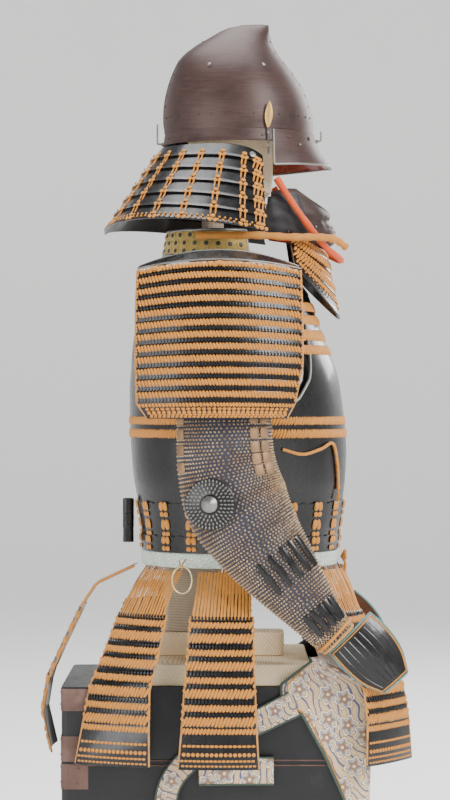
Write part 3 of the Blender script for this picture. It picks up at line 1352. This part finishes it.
def laced_panel(name, nodes, surface, edges, mirror, pitch=GUARD_LACE_PITCH, dark=0.36,
                lean=0.42, double=False):
    """Black ribbed lames, each under a band of slanting laces, with dots and knots at the foot."""
    plates = Form(name + "_lames", "black_lacquer", "inner_lacquer", "ochre_leather",
                  "white_thread")
    laces = Form(name + "_laces", "ochre_silk", "white_thread")
    us = np.linspace(-1, 1, 49)
    count = len(edges) - 1
    for k in range(count):
        top, low = edges[k], edges[k + 1]
        part = low - top
        vs = np.array([top, top + part * 0.06, top + part * 0.55, low - part * 0.02, low])
        plates.wall(surface, us, vs, (0.3, 0.9, 1.4, 1.9, 1.5), -1.3, 0, lining=1)
        last = k == count - 1
        tall = surface.height(top, low)
        share = 0.2 if last else dark
        u = across(surface, low - part * 0.2, pitch, -0.985, 0.985)
        bands = ((0.03, 0.99 - share),)
        ribs = ((1 - share, 1.0),)
        if double:
            bands, ribs = ((0.2, 0.46), (0.62, 1.0)), ((0.0, 0.2), (0.46, 0.62))
        if not last:
            for start, end in ribs:
                frames = surface.frame(u, u * 0 + top + part * (start + end) / 2, 1.5)
                size = (pitch * 0.42, tall * (end - start) * 0.52, 1.7)
                plates.stamp(RIB, frames, size, 0, 0.0)
        if last:
            lace_band(laces, surface, top + part * 0.02, top + part * min(0.3, 11 / tall), pitch,
                      lean, 2.0, 1.2, seed=k)
            body = min(1.0, 60.0 / tall)
            for share_v, size, gap in ((0.42, (3.4, 2.2, 2.0), 7.4), (0.64, (3.3, 3.3, 2.0), 7.4),
                                       (0.8, (3.2, 1.9, 1.8), 6.4), (0.93, (2.9, 1.7, 1.6), 6.4)):
                inset = 0.8 if share_v == 0.8 else 0.5
                cells = across(surface, low, gap, -0.95, 0.95, inset)
                place = top + part * (1 - (1 - share_v) * body)
                laces.stamp(DOT if share_v == 0.64 else LACE,
                            surface.frame(cells, cells * 0 + place, 1.7), size, 0)
        else:
            for j, (start, end) in enumerate(bands):
                lace_band(laces, surface, top + part * start, top + part * end, pitch, lean, 2.2,
                          1.4, start=-0.97, end=0.97, fill=0.49, seed=k * 2 + j)
            for side in (-0.985, 0.985):
                edge_v = top + part * np.array([0.25, 0.5, 0.75])
                laces.stamp(LACE, surface.frame(np.full(3, side), edge_v, 1.8),
                            (2.4, tall * 0.11, 1.9), 0, -math.copysign(0.6, side))
    vs = np.linspace(edges[0], edges[-1], 60)
    for side in (-1, 1):
        plates.tube(surface.at(side + 0 * vs, vs, 0.4), 1.7, 2, sides=8)
    plates.tube(surface.at(us, us * 0 + edges[-1], 0.3), 1.7, 0, sides=8)
    plates.build(nodes, mirror, slot="ochre_lacing")
    laces.build([], mirror, slot="ochre_lacing")


def shoulder_point(u, v):
    rows = np.array(SHOULDER_GUARD[1], float)
    z, x, rear, front, bulge, sag = (np.interp(v, rows[:, 0], rows[:, k]) for k in range(1, 7))
    reach = np.where(u > 0, front, rear)
    return xyz(-(x + bulge * (1 - u * u)), SHOULDER_GUARD_Y - u * reach, z - sag * u * u)


def make_shoulder_guards(sizes):
    """The great shoulder guards: a lacquered crest above and twelve laced lames."""
    surface = Surface(shoulder_point)
    for mirror in (False, True):
        side = "left" if mirror else "right"
        edges = [0.0] + [0.06 + 0.84 * k / 11 for k in range(12)] + [1.0]
        laced_panel("shoulder_guard_" + side, ["shoulder_guard_" + side], surface, edges, mirror)

        def crest(u, v):
            base = shoulder_point(u, 0 * u)
            y = SHOULDER_GUARD_Y + (base[..., 1] - SHOULDER_GUARD_Y) * (1 - 0.015 * v)
            x = base[..., 0] + 33 * v * (1 - 0.35 * u * u) + 0.4
            return xyz(x, y, base[..., 2] + 2.7 + (16 - 12 * u * u) * v)
        top = Surface(crest)
        form = Form("shoulder_crest_" + side, "black_lacquer", "inner_lacquer", "dark_silver",
                    "white_thread")
        us = np.linspace(-1, 1, 49)
        form.wall(top, us, np.linspace(0, 1, 8), 1.0, -1.0, 0, lining=0)
        form.tube(top.at(us, us * 0), 1.5, 2, sides=8)
        form.tube(top.at(us, us * 0 + 1), 1.8, 2, sides=8)
        u = across(surface, 0.01, 3.4, -0.97, 0.97)
        form.stamp(LACE, surface.frame(u, u * 0 + 0.012, 1.6), (1.1, 2.2, 1.0), 3, 0.4)
        form.build(["shoulder_top_plate_" + side], mirror, slot="black_lacquer")
        knots = Form("shoulder_knots_" + side, "ochre_silk", "dark_silver")
        for place in (-0.78, 0.0, 0.62):
            spot = np.array([place])
            for tilt in (-1, 1):
                knots.stamp(LACE, surface.frame(spot + tilt * 0.03, spot * 0 + 0.02, 3.0),
                            (3.4, 7.0, 3.0), 0, tilt * 0.9)
            knots.stamp(DOT, surface.frame(spot, spot * 0 + 0.02, 4.0), (3.4, 3.4, 3.4), 0)
        knots.build([], mirror, slot="ochre_lacing")


def skirt_surface(turn, facing, reach, lean):
    heights, halves = np.array(SKIRT_HEIGHTS, float), np.array(SKIRT_HALF, float)
    share = (634 - heights) / 301.0

    def shape(u, v):
        z = 634 - 301 * v
        face = np.radians(turn + (facing - turn) * v)
        away = np.interp(v, share, reach)
        half = np.interp(v, share, halves)
        arc = 5 * (1 - u * u)
        sine, cosine = turned(turn)
        x = -sine * away - np.sin(face) * arc - np.cos(face) * u * half
        y = -cosine * away - np.cos(face) * arc + np.sin(face) * u * half
        return xyz(x, y, z + lean * u)
    return Surface(shape)


def make_skirt(sizes):
    """Eight hanging panels: long laces at the waist and five laced lames each."""
    for name, turn, facing, reach in SKIRT_PANELS:
        surface = skirt_surface(turn, facing, reach, 0.0)
        sides = (False, True) if name.endswith("right") else (False,)
        for mirror in sides:
            label = name.replace("right", "left") if mirror else name
            edges = [0.226, 0.366, 0.506, 0.646, 0.79, 1.0]
            laced_panel(label, [label], surface, edges, mirror, pitch=SKIRT_LACE_PITCH, double=True)
            ribbons = Form(label + "_ribbons", "ochre_silk")
            rng = np.random.default_rng(len(label) + mirror)
            for place in np.linspace(-0.9, 0.9, 17):
                shift = rng.uniform(-0.012, 0.012, 6)
                vs = np.linspace(0.01, 0.245, 14)
                u = place + np.interp(vs, np.linspace(0, 0.245, 6), shift)
                mid, side_way, _, away = surface.frame(u, vs, 1.5 + rng.uniform(-0.4, 0.5))
                width = 2.1 + 0.12 * np.sin(vs * 90 + place * 9)
                left = mid - side_way * width[:, None]
                right = mid + side_way * width[:, None]
                mid = mid + away * 0.7
                back = mid - away * 1.5
                sheet = np.stack([left, mid, right, back])
                flat = np.stack(np.meshgrid(vs, [0, 0.002, 0.004, 0.006]), -1)
                ribbons.grid(sheet.transpose(1, 0, 2), 0, True, flat.transpose(1, 0, 2))
            ribbons.build([], mirror, slot="ochre_lacing")


# ------------------------------------------------------------------ sleeves and hands

SLEEVE_PROFILE = Profile(SLEEVE)
MAIL_SHARE = 0.62
BOSS = SimpleNamespace(centre=(-262.0, 48.0, 743.0), turn=14, studs=((19, 20), (25, 26), (31, 32),
                                                                     (36.5, 40)))


def sleeve_surface():
    rows = SLEEVE_PROFILE.at(np.linspace(0, 1, 200))
    centre = np.stack([rows.x, rows.y, rows.z], -1)
    along = unit(np.gradient(centre, axis=0))
    wide_way = unit(np.cross(along, (1.0, 0.0, 0.0)))
    deep_way = unit(np.cross(wide_way, along))
    share = np.linspace(0, 1, 200)

    def read(v, table):
        return np.stack([np.interp(v, share, table[:, k]) for k in range(3)], -1)

    def shape(u, v):
        angle = u * math.pi
        wide = np.interp(v, share, rows.wide)[..., None]
        deep = np.interp(v, share, rows.deep)[..., None]
        c = power(np.cos(angle), 0.88)[..., None]
        s = power(np.sin(angle), 0.88)[..., None]
        return read(v, centre) + read(v, wide_way) * wide * s + read(v, deep_way) * deep * c
    return Surface(shape), centre


def make_sleeves(sizes):
    """Cloth sleeves faced with fine mail, small plates, splints, an elbow boss and hand guards."""
    surface, centre = sleeve_surface()
    probe = surface.at(np.array([0.0]), np.array([0.4]))[0]
    outer_u = 0.0 if probe[0] < -228 else 1.0
    surface.side = 1.0
    p, _, _, n = surface.frame(np.array([0.5]), np.array([0.4]))
    if float(((p - centre[80]) * n).sum()) < 0:
        surface.side = -1.0
    for mirror in (False, True):
        side = "left" if mirror else "right"
        cloth = Form("sleeve_cloth_" + side, "navy_cloth", "ochre_leather")
        hem = Form("sleeve_hems_" + side, "ochre_leather")
        u, v = np.meshgrid(np.linspace(-1, 1, 73)[:-1], np.linspace(0, 1, 60))
        fold = 0.7 * np.sin(v * 60 + 2 * np.sin(u * math.pi)) * np.exp(-((v - 0.5) / 0.2) ** 2)
        outer = surface.at(u, v, fold)
        inner = surface.at(u, v, -2.4)
        flat = np.stack([u * 0.2, -v * 0.7], -1)
        cloth.grid(outer, 0, True, flat)
        cloth.grid(inner[:, ::-1], 0, True, flat)
        for end in (0, -1):
            cloth.grid(np.stack([outer[end], inner[end]]), 1, True)
        for end in (0.0, 1.0):
            us = np.linspace(-1, 1, 49)[:-1]
            hem.tube(surface.at(us, us * 0 + end), 2.4, 0, sides=8, closed=True)
        hem_piece = hem.build([], mirror, slot="mail_cloth")
        piece = cloth.build(["sleeve_" + side], mirror, slot="mail_cloth", weld=True)

        mail = Form("sleeve_mail_" + side, "mail_links")
        tall = surface.height(0.0, 1.0)
        pitch_u, pitch_v = sizes.mail_pitch, sizes.mail_pitch * 1.12
        rows = int(tall / pitch_v)
        for r in range(rows):
            v0 = (r + 0.5) / rows
            around = surface.width(v0) / 2
            half = MAIL_SHARE
            count = max(6, int(around * 2 * half / pitch_u))
            us = outer_u + np.linspace(-half, half, count) + (half / count) * (r % 2)
            frames = surface.frame(us, us * 0 + v0, 0.4)
            mail.stamp(LINK, frames, (pitch_u * 0.56, pitch_v * 0.36, 1.7), 0,
                       0.6 if r % 2 else -0.6)
        mail.build([], mirror, slot="mail_cloth")

        hard = Form("sleeve_plates_" + side, "black_lacquer", "plate_iron")
        ahead = surface.at(np.array([outer_u + 0.1]), np.array([0.4]))[0, 1]
        front = 1.0 if ahead < surface.at(np.array([outer_u]), np.array([0.4]))[0, 1] else -1.0
        for offset, span in ((0.3, (0.1, 0.45)), (0.2, (0.1, 0.45)), (-0.36, (0.1, 0.4))):
            for v0 in np.arange(span[0], span[1], 0.036):
                spot = surface.frame(np.array([outer_u + front * offset]), np.array([v0]), 1.0)
                hard.stamp(PLATE, spot, (7.2, 8.8, 2.0), 1)
        for k in range(-2, 3):
            for v0, v1 in ((0.66, 0.76), (0.83, 0.92)):
                mid = surface.frame(np.array([outer_u + front * 0.1 + k * 0.1]),
                                    np.array([(v0 + v1) / 2]), 1.2)
                tall_s = surface.height(v0, v1) / 2
                hard.stamp(PLATE, mid, (5.2, tall_s, 2.2), 0)
        hard.build([], mirror, slot="mail_cloth")

        boss = Form("elbow_boss_disc_" + side, "black_lacquer", "dark_silver", "mail_links")
        centre_b = np.array(BOSS.centre)
        out_way = unit(np.array([-math.cos(math.radians(BOSS.turn)),
                                 math.sin(math.radians(BOSS.turn)), 0.0]))
        a, d = unit(np.cross((0, 0, 1.0), out_way)), np.array([0, 0, 1.0])
        radii = np.array([0, 4, 9, 13, 15, 18, 24, 30, 36, 39, 40, 40, 30, 0.01])
        lifts = np.array([13, 12, 8.5, 5, 2.4, 2, 1.6, 1.2, 0.9, 0.9, 0, -2.2, -2.2, -2.2])
        angle = np.linspace(0, 2 * math.pi, 49)[:-1]
        dome = (
            centre_b + (radii[:, None] * np.cos(angle))[..., None] * a
            + (radii[:, None] * np.sin(angle))[..., None] * d + lifts[:, None, None] * out_way
        )
        boss.grid(dome[:4], 1, True)
        boss.grid(dome[3:], 0, True)
        for radius, count in BOSS.studs:
            t = np.arange(count) / count * 2 * math.pi
            p = centre_b + (radius * np.cos(t))[:, None] * a + (radius * np.sin(t))[:, None] * d
            p = p + out_way * 2.0
            radial = np.cos(t)[:, None] * a + np.sin(t)[:, None] * d
            side_way = -np.sin(t)[:, None] * a + np.cos(t)[:, None] * d
            boss.stamp(DOT, (p, side_way, radial, np.broadcast_to(out_way, p.shape)),
                       (1.3, 2.5, 1.5), 1)
        boss.build(["elbow_boss_" + side], mirror, slot="black_lacquer")

        rows_h = Profile(HAND_GUARD)

        def hand(u, v):
            row = rows_h.at(v)
            e = 0.02
            ahead, behind = rows_h.at(v + e), rows_h.at(v - e)
            path = xyz(0 * v, ahead.y - behind.y, ahead.z - behind.z)
            way = unit(np.stack([0 * v, path[..., 2], -path[..., 1]], -1))
            base = np.stack([row.x + row.curl * u * u, row.y, row.z], -1)
            return base + way * (row.wide * u)[..., None]
        plate = Surface(hand, (-228, 0))
        guard = Form("hand_guard_plate_" + side, "black_lacquer", "teal_binding", "ochre_silk",
                     "brown_leather")
        us, vs = np.linspace(-1, 1, 41), np.linspace(0, 1, 24)
        guard.wall(plate, us, vs, 1.2, -1.1, 0, lining=3)
        around = [(u0, 0.0) for u0 in np.linspace(-1, 1, 24)] + [
            (1.0, v0) for v0 in np.linspace(0, 1, 16)[1:]] + [
            (u0, 1.0) for u0 in np.linspace(1, -1, 24)[1:]] + [
            (-1.0, v0) for v0 in np.linspace(1, 0, 16)[1:-1]]
        uv = np.array(around)
        guard.tube(plate.at(uv[:, 0], uv[:, 1], 0.1), 2.1, 1, sides=8, closed=True)
        guard.tube(plate.at(uv[:, 0] * 0.93, 0.04 + uv[:, 1] * 0.92, 1.7), 1.2, 2, sides=6,
                   closed=True)
        for k in range(-3, 4):
            line = plate.at(k * 0.24 + 0 * vs, 0.08 + vs * 0.84, 1.3)
            guard.tube(line, 1.1, 0, sides=6)
        guard.build(["hand_guard_" + side], mirror, slot="black_lacquer")
        tie = Form("wrist_tie_" + side, "ochre_silk")
        us = np.linspace(-1, 1, 41)[:-1]
        wrist = surface.at(us, us * 0 + 0.965, 2.4)
        tie.tube(wrist, 2.4, sides=8, closed=True, ply=0.1, turns=0.9)
        tie.build([], mirror, slot="ochre_lacing")


# ------------------------------------------------------------------ apron, ring and socket


def make_apron(sizes):
    """The lined thigh guards of brocade with corded edges."""

    def edge_at(v):
        """The height, and how far behind the front face the rear edge lies there."""
        z = APRON.top - APRON.drop * v
        return z, np.interp(-z, [-row[0] for row in APRON_EDGE[1]], [r[1] for r in APRON_EDGE[1]])

    def shape(u, v):
        z, back = edge_at(v)
        lean = np.maximum(0.0, (z - APRON.fold) / (APRON.top - APRON.fold))
        turn = np.clip(u - 1, 0, 1) * math.pi / 2
        side = np.maximum(back - APRON.corner - APRON.lean * lean, 3)
        x = -APRON.split - np.clip(u, 0, 1) * APRON.flat - APRON.corner * np.sin(turn)
        y = APRON.face + APRON.corner * (1 - np.cos(turn)) + np.clip(u - 2, 0, 1) * side
        return xyz(x * (1 - 0.015 * lean), y + APRON.lean * lean, z)
    surface = Surface(shape, (-60, 0))
    for mirror in (False, True):
        side = "left" if mirror else "right"
        form = Form("apron_cloth_" + side, "beige_brocade", "navy_cloth", "green_piping",
                    "ochre_silk")
        us = np.concatenate([np.linspace(0, 1, 26)[:-1], np.linspace(1, 2, 7)[:-1],
                             np.linspace(2, 3, 40)])
        vs = np.linspace(0, 1, 64)
        u, v = np.meshgrid(us, vs)
        lengths = np.interp(u, [0, 1, 2, 3], [0, 0.149, 0.169, 0.42])
        _, back = edge_at(v)
        lengths = np.where(u > 2, 0.169 + (u - 2) * (back - APRON.corner) * MM, lengths)
        edge = np.clip(np.minimum.reduce([u / 0.15, (3 - u) / 0.15, v / 0.05, (1 - v) / 0.05]),
                       0, 1)
        fold = 1.5 * np.sin(lengths * 36 + v * 4) * v + 0.8 * np.sin(v * 26 + lengths * 14)
        outer = surface.at(u, v, 1.0 + np.maximum(fold * edge, -0.9))
        inner = surface.at(u, v, -1.2)
        cloth_flat = np.stack([lengths, -v * 0.379], -1)
        form.grid(outer, 0, flat=cloth_flat)
        form.grid(inner[:, ::-1], 1, flat=cloth_flat[:, ::-1])
        for k in (0, -1):
            form.grid(np.stack([outer[k], inner[k]]), 0)
            form.grid(np.stack([outer[:, k], inner[:, k]]), 0)
        edging = Form("apron_edging_" + side, "green_piping", "ochre_silk")
        edging.tube(outer[:, -1], 2.4, 0, sides=8)
        edging.tube(outer[:, -4], 1.2, 1, sides=6)
        edging.tube(outer[:, 0], 1.8, 0, sides=8)
        edging.tube(outer[-1], 1.8, 0, sides=8)
        edging_piece = edging.build([], mirror, slot="beige_brocade")
        piece = form.build(["apron_" + side], mirror, slot="beige_brocade", weld=True)
    for name, line in (
        ("apron_strap_right", [(-84, 424, -174, 20), (-40, 402, -173, 19), (20, 372, -173, 18),
                               (78, 338, -173, 18), (112, 296, -173, 17), (122, 236, -173, 17)]),
        ("apron_strap_end", [(66, 318, -179, 21), (6, 319, -179, 21), (-52, 319, -178, 21)]),
    ):
        row = Profile(("y z x half", line)).at(np.linspace(0, 1, 40))
        path = np.stack([row.y, row.z], -1)
        way = unit(np.gradient(path, axis=0))
        across_way = np.stack([-way[:, 1], way[:, 0]], -1)
        cols = np.linspace(-1, 1, 13)
        yz = path[:, None] + across_way[:, None] * (cols[None] * row.half[:, None])[..., None]
        wave = 0.5 * np.sin(np.linspace(0, 9, 40))[:, None] * (1 - cols**2)
        form = Form(name + "_cloth", "beige_brocade", "navy_cloth", "green_piping")
        edging = Form(name + "_edging", "green_piping")
        top = np.stack([np.broadcast_to(row.x[:, None] - 1.1, yz.shape[:2]) + wave * 0.6,
                        yz[..., 0], yz[..., 1]], -1)
        low = top.copy()
        low[..., 0] = row.x[:, None] + 1.0
        span = run_length(np.stack([row.x, row.y, row.z], -1)) * MM
        cloth_flat = np.stack(np.meshgrid(cols * 0.019, np.linspace(0, span, 40)), -1)
        form.grid(top, 0, flat=cloth_flat)
        form.grid(low[:, ::-1], 1, flat=cloth_flat)
        for k in (0, -1):
            form.grid(np.stack([top[:, k], low[:, k]]), 0)
            form.grid(np.stack([top[k], low[k]]), 0)
            edging.tube(top[:, k], 1.5, 0, sides=8)
        edging_piece = edging.build([], slot="beige_brocade")
        piece = form.build([name], slot="beige_brocade", weld=True)


def make_ring(sizes):
    """The waist ring that swings in its lace, and the banner socket behind."""
    form = Form("waist_ring_wire", "brass")
    t = np.linspace(0, 2 * math.pi, 61)[:-1]
    oval = xyz(RING.x, RING.y + RING.half * np.cos(t), RING.z + RING.tall * np.sin(t))
    form.tube(oval, RING.wire, closed=True, sides=12)
    form.build(["waist_ring"], slot="brass", body="ring")
    socket = Form("banner_socket_cup", "black_lacquer", "dark_silver", "ochre_silk")
    rows = [(1.0, 670.6), (1.0, 672), (0.97, 690), (1.0, 716), (1.06, 717.5), (0.86, 717.8),
            (0.82, 712), (0.8, 676), (0.78, 673.5)]
    angle = np.linspace(0, 2 * math.pi, 33)[:-1]
    cx, sx = power(np.cos(angle), 0.45), power(np.sin(angle), 0.45)
    rings = [np.stack([17 * k * cx, 184 + 9 * k * sx * (1 if k > 0.9 else 0.7), z + 0 * cx], -1)
             for k, z in rows]
    socket.grid(np.stack(rings), 0, True)
    for k, z in ((0, 670.6), (-1, 673.5)):
        cap = np.concatenate([rings[k], [[0, 184, z]]])
        socket.put(cap, [(i, (i + 1) % 32, 32) for i in range(32)])
    socket.build([], slot="russet_iron")


# ------------------------------------------------------------------ stand and chest


def make_stand(sizes):
    """Gives the stand's boards, post and head their wood."""
    for name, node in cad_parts.items():
        if name.startswith("stand"):
            node.data.materials.clear()
            kind = "grey_wood" if name in ("stand_post", "stand_neck") else "pale_wood"
            node.data.materials.append(FINISHES[kind])
        elif name == "banner_socket":
            node.data.materials.clear()
            node.data.materials.append(FINISHES["black_lacquer"])


def make_chest(sizes):
    """The worn lacquered chest with its iron corners, straps and nails."""
    for name in ("chest_box", "chest_lid"):
        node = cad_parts[name]
        node.data.materials.clear()
        node.data.materials.append(FINISHES["chest_lacquer"])
    iron = Form("chest_irons", "rust_iron", "brass")
    w, l = CHEST.width / 2, CHEST.length / 2
    corner, proud = CHEST.corner, CHEST.proud
    shift = -TORSO_SHIFT
    for sx in (-1, 1):
        for sy in (-1, 1):
            for z0, z1 in ((3, 44), (288, 328), (332, 372), (412, 447)):
                turn = np.linspace(0, math.pi / 2, 7)
                plan = [(w + proud, l - corner - CHEST.iron), (w + proud, l - corner)]
                plan += [(w - corner + (corner + proud) * math.cos(a),
                          l - corner + (corner + proud) * math.sin(a)) for a in turn]
                plan += [(w - corner, l + proud), (w - corner - CHEST.iron, l + proud)]
                plan = np.array(plan)
                rows = []
                for z in (z0, (z0 + z1) / 2, z1):
                    rows.append(np.stack([sx * plan[:, 0], sy * plan[:, 1] + shift,
                                          z + 0 * plan[:, 0]], -1))
                iron.grid(np.array(rows), 0)
                for dx, dy, way, side_way in ((w + 1.6, l - 26, (sx, 0, 0), (0, 1, 0)),
                                              (w - 26, l + 1.6, (0, sy, 0), (1, 0, 0))):
                    for z in (z0 + 8, z1 - 8):
                        p = np.array([[sx * dx, sy * dy + shift, z]])
                        iron.stamp(DOT, (p, np.array([side_way], float),
                                         np.array([[0, 0, 1.0]]), np.array([way], float)),
                                   (2.6, 2.6, 1.6), 0)
    for z in (326, 334):
        for sx in (-1, 1):
            line = [(sx * (w + 0.6), -l + 12 + shift, z), (sx * (w + 0.6), l - 12 + shift, z)]
            iron.tube(np.linspace(line[0], line[1], 12), 1.3, 0, sides=6)
    iron.build([], slot="chest_lacquer")


# ------------------------------------------------------------------ the add-on

PIECES = (
    ("cords", "Cords", make_cords), ("helmet_bowl", "Helmet bowl", make_helmet_bowl),
    ("visor", "Visor", make_visor), ("fittings", "Helmet fittings", make_crest_fittings),
    ("neck_guard", "Neck guard", make_neck_guard), ("mask", "Half mask", make_mask),
    ("throat_guard", "Throat guard", make_throat_guard), ("collar", "Collar", make_collar),
    ("cuirass", "Cuirass and belt", make_cuirass), ("straps", "Shoulder straps", make_straps),
    ("shoulder_guards", "Shoulder guards", make_shoulder_guards),
    ("skirt", "Skirt panels", make_skirt), ("sleeves", "Sleeves", make_sleeves),
    ("apron", "Thigh guards", make_apron), ("ring", "Waist ring", make_ring),
    ("stand", "Stand", make_stand), ("chest", "Chest", make_chest),
)


class ArmourSizes(bpy.types.PropertyGroup):
    """Sizes and colours of the armour."""

    lace_colour: FloatVectorProperty(
        name="Lace colour", description="Colour of the silk lacing", subtype="COLOR", size=3,
        min=0, max=1, default=paint(190, 124, 40),
    )
    cord_colour: FloatVectorProperty(
        name="Helmet cord colour", description="Colour of the helmet cord", subtype="COLOR",
        size=3, min=0, max=1, default=paint(206, 78, 22),
    )
    mail_pitch: FloatProperty(
        name="Mail pitch", description="Distance between links, in millimetres", default=4.4,
        min=3.0, max=9.0,
    )
    key_light: FloatProperty(
        name="Key light", description="Power of the main lamp", default=340.0, min=0, unit="POWER",
    )
    world_light: FloatProperty(
        name="World light", description="Strength of the light all round", default=0.4, min=0,
    )


def piece_operator(key, label, make):
    """An operator that builds one piece or one group of like pieces."""
    def execute(self, context):
        make(context.scene.armour_sizes)
        return {"FINISHED"}
    return type("ARMOUR_OT_" + key, (bpy.types.Operator,), {
        "bl_idname": "armour." + key, "bl_label": label, "__doc__": make.__doc__,
        "execute": execute,
    })


class ARMOUR_OT_stage(bpy.types.Operator):
    """Mixes the finishes, then sets the floor, the lights and the camera."""

    bl_idname = "armour.stage"
    bl_label = "Stage"

    def execute(self, context):
        make_finishes(context.scene.armour_sizes)
        make_stage(context.scene.armour_sizes)
        return {"FINISHED"}


OPERATORS = [ARMOUR_OT_stage] + [piece_operator(*piece) for piece in PIECES]


class ARMOUR_PT_pieces(bpy.types.Panel):
    """Lists the pieces of the armour."""

    bl_label = "Samurai armour"
    bl_idname = "ARMOUR_PT_pieces"
    bl_space_type = "VIEW_3D"
    bl_region_type = "UI"
    bl_category = "Armour"

    def draw(self, context):
        sizes = context.scene.armour_sizes
        for name in ("lace_colour", "cord_colour", "mail_pitch", "key_light", "world_light"):
            self.layout.prop(sizes, name)
        for operator in OPERATORS:
            self.layout.operator(operator.bl_idname)


CLASSES = [ArmourSizes, *OPERATORS, ARMOUR_PT_pieces]


def register():
    for cls in CLASSES:
        bpy.utils.register_class(cls)
    bpy.types.Scene.armour_sizes = PointerProperty(type=ArmourSizes)


def unregister():
    del bpy.types.Scene.armour_sizes
    for cls in reversed(CLASSES):
        bpy.utils.unregister_class(cls)


def main():
    """Builds everything in order and writes the two boxes."""
    register()
    for operator in OPERATORS:
        getattr(bpy.ops.armour, operator.bl_idname.split(".")[1])()


if __name__ == "__main__":
    main()
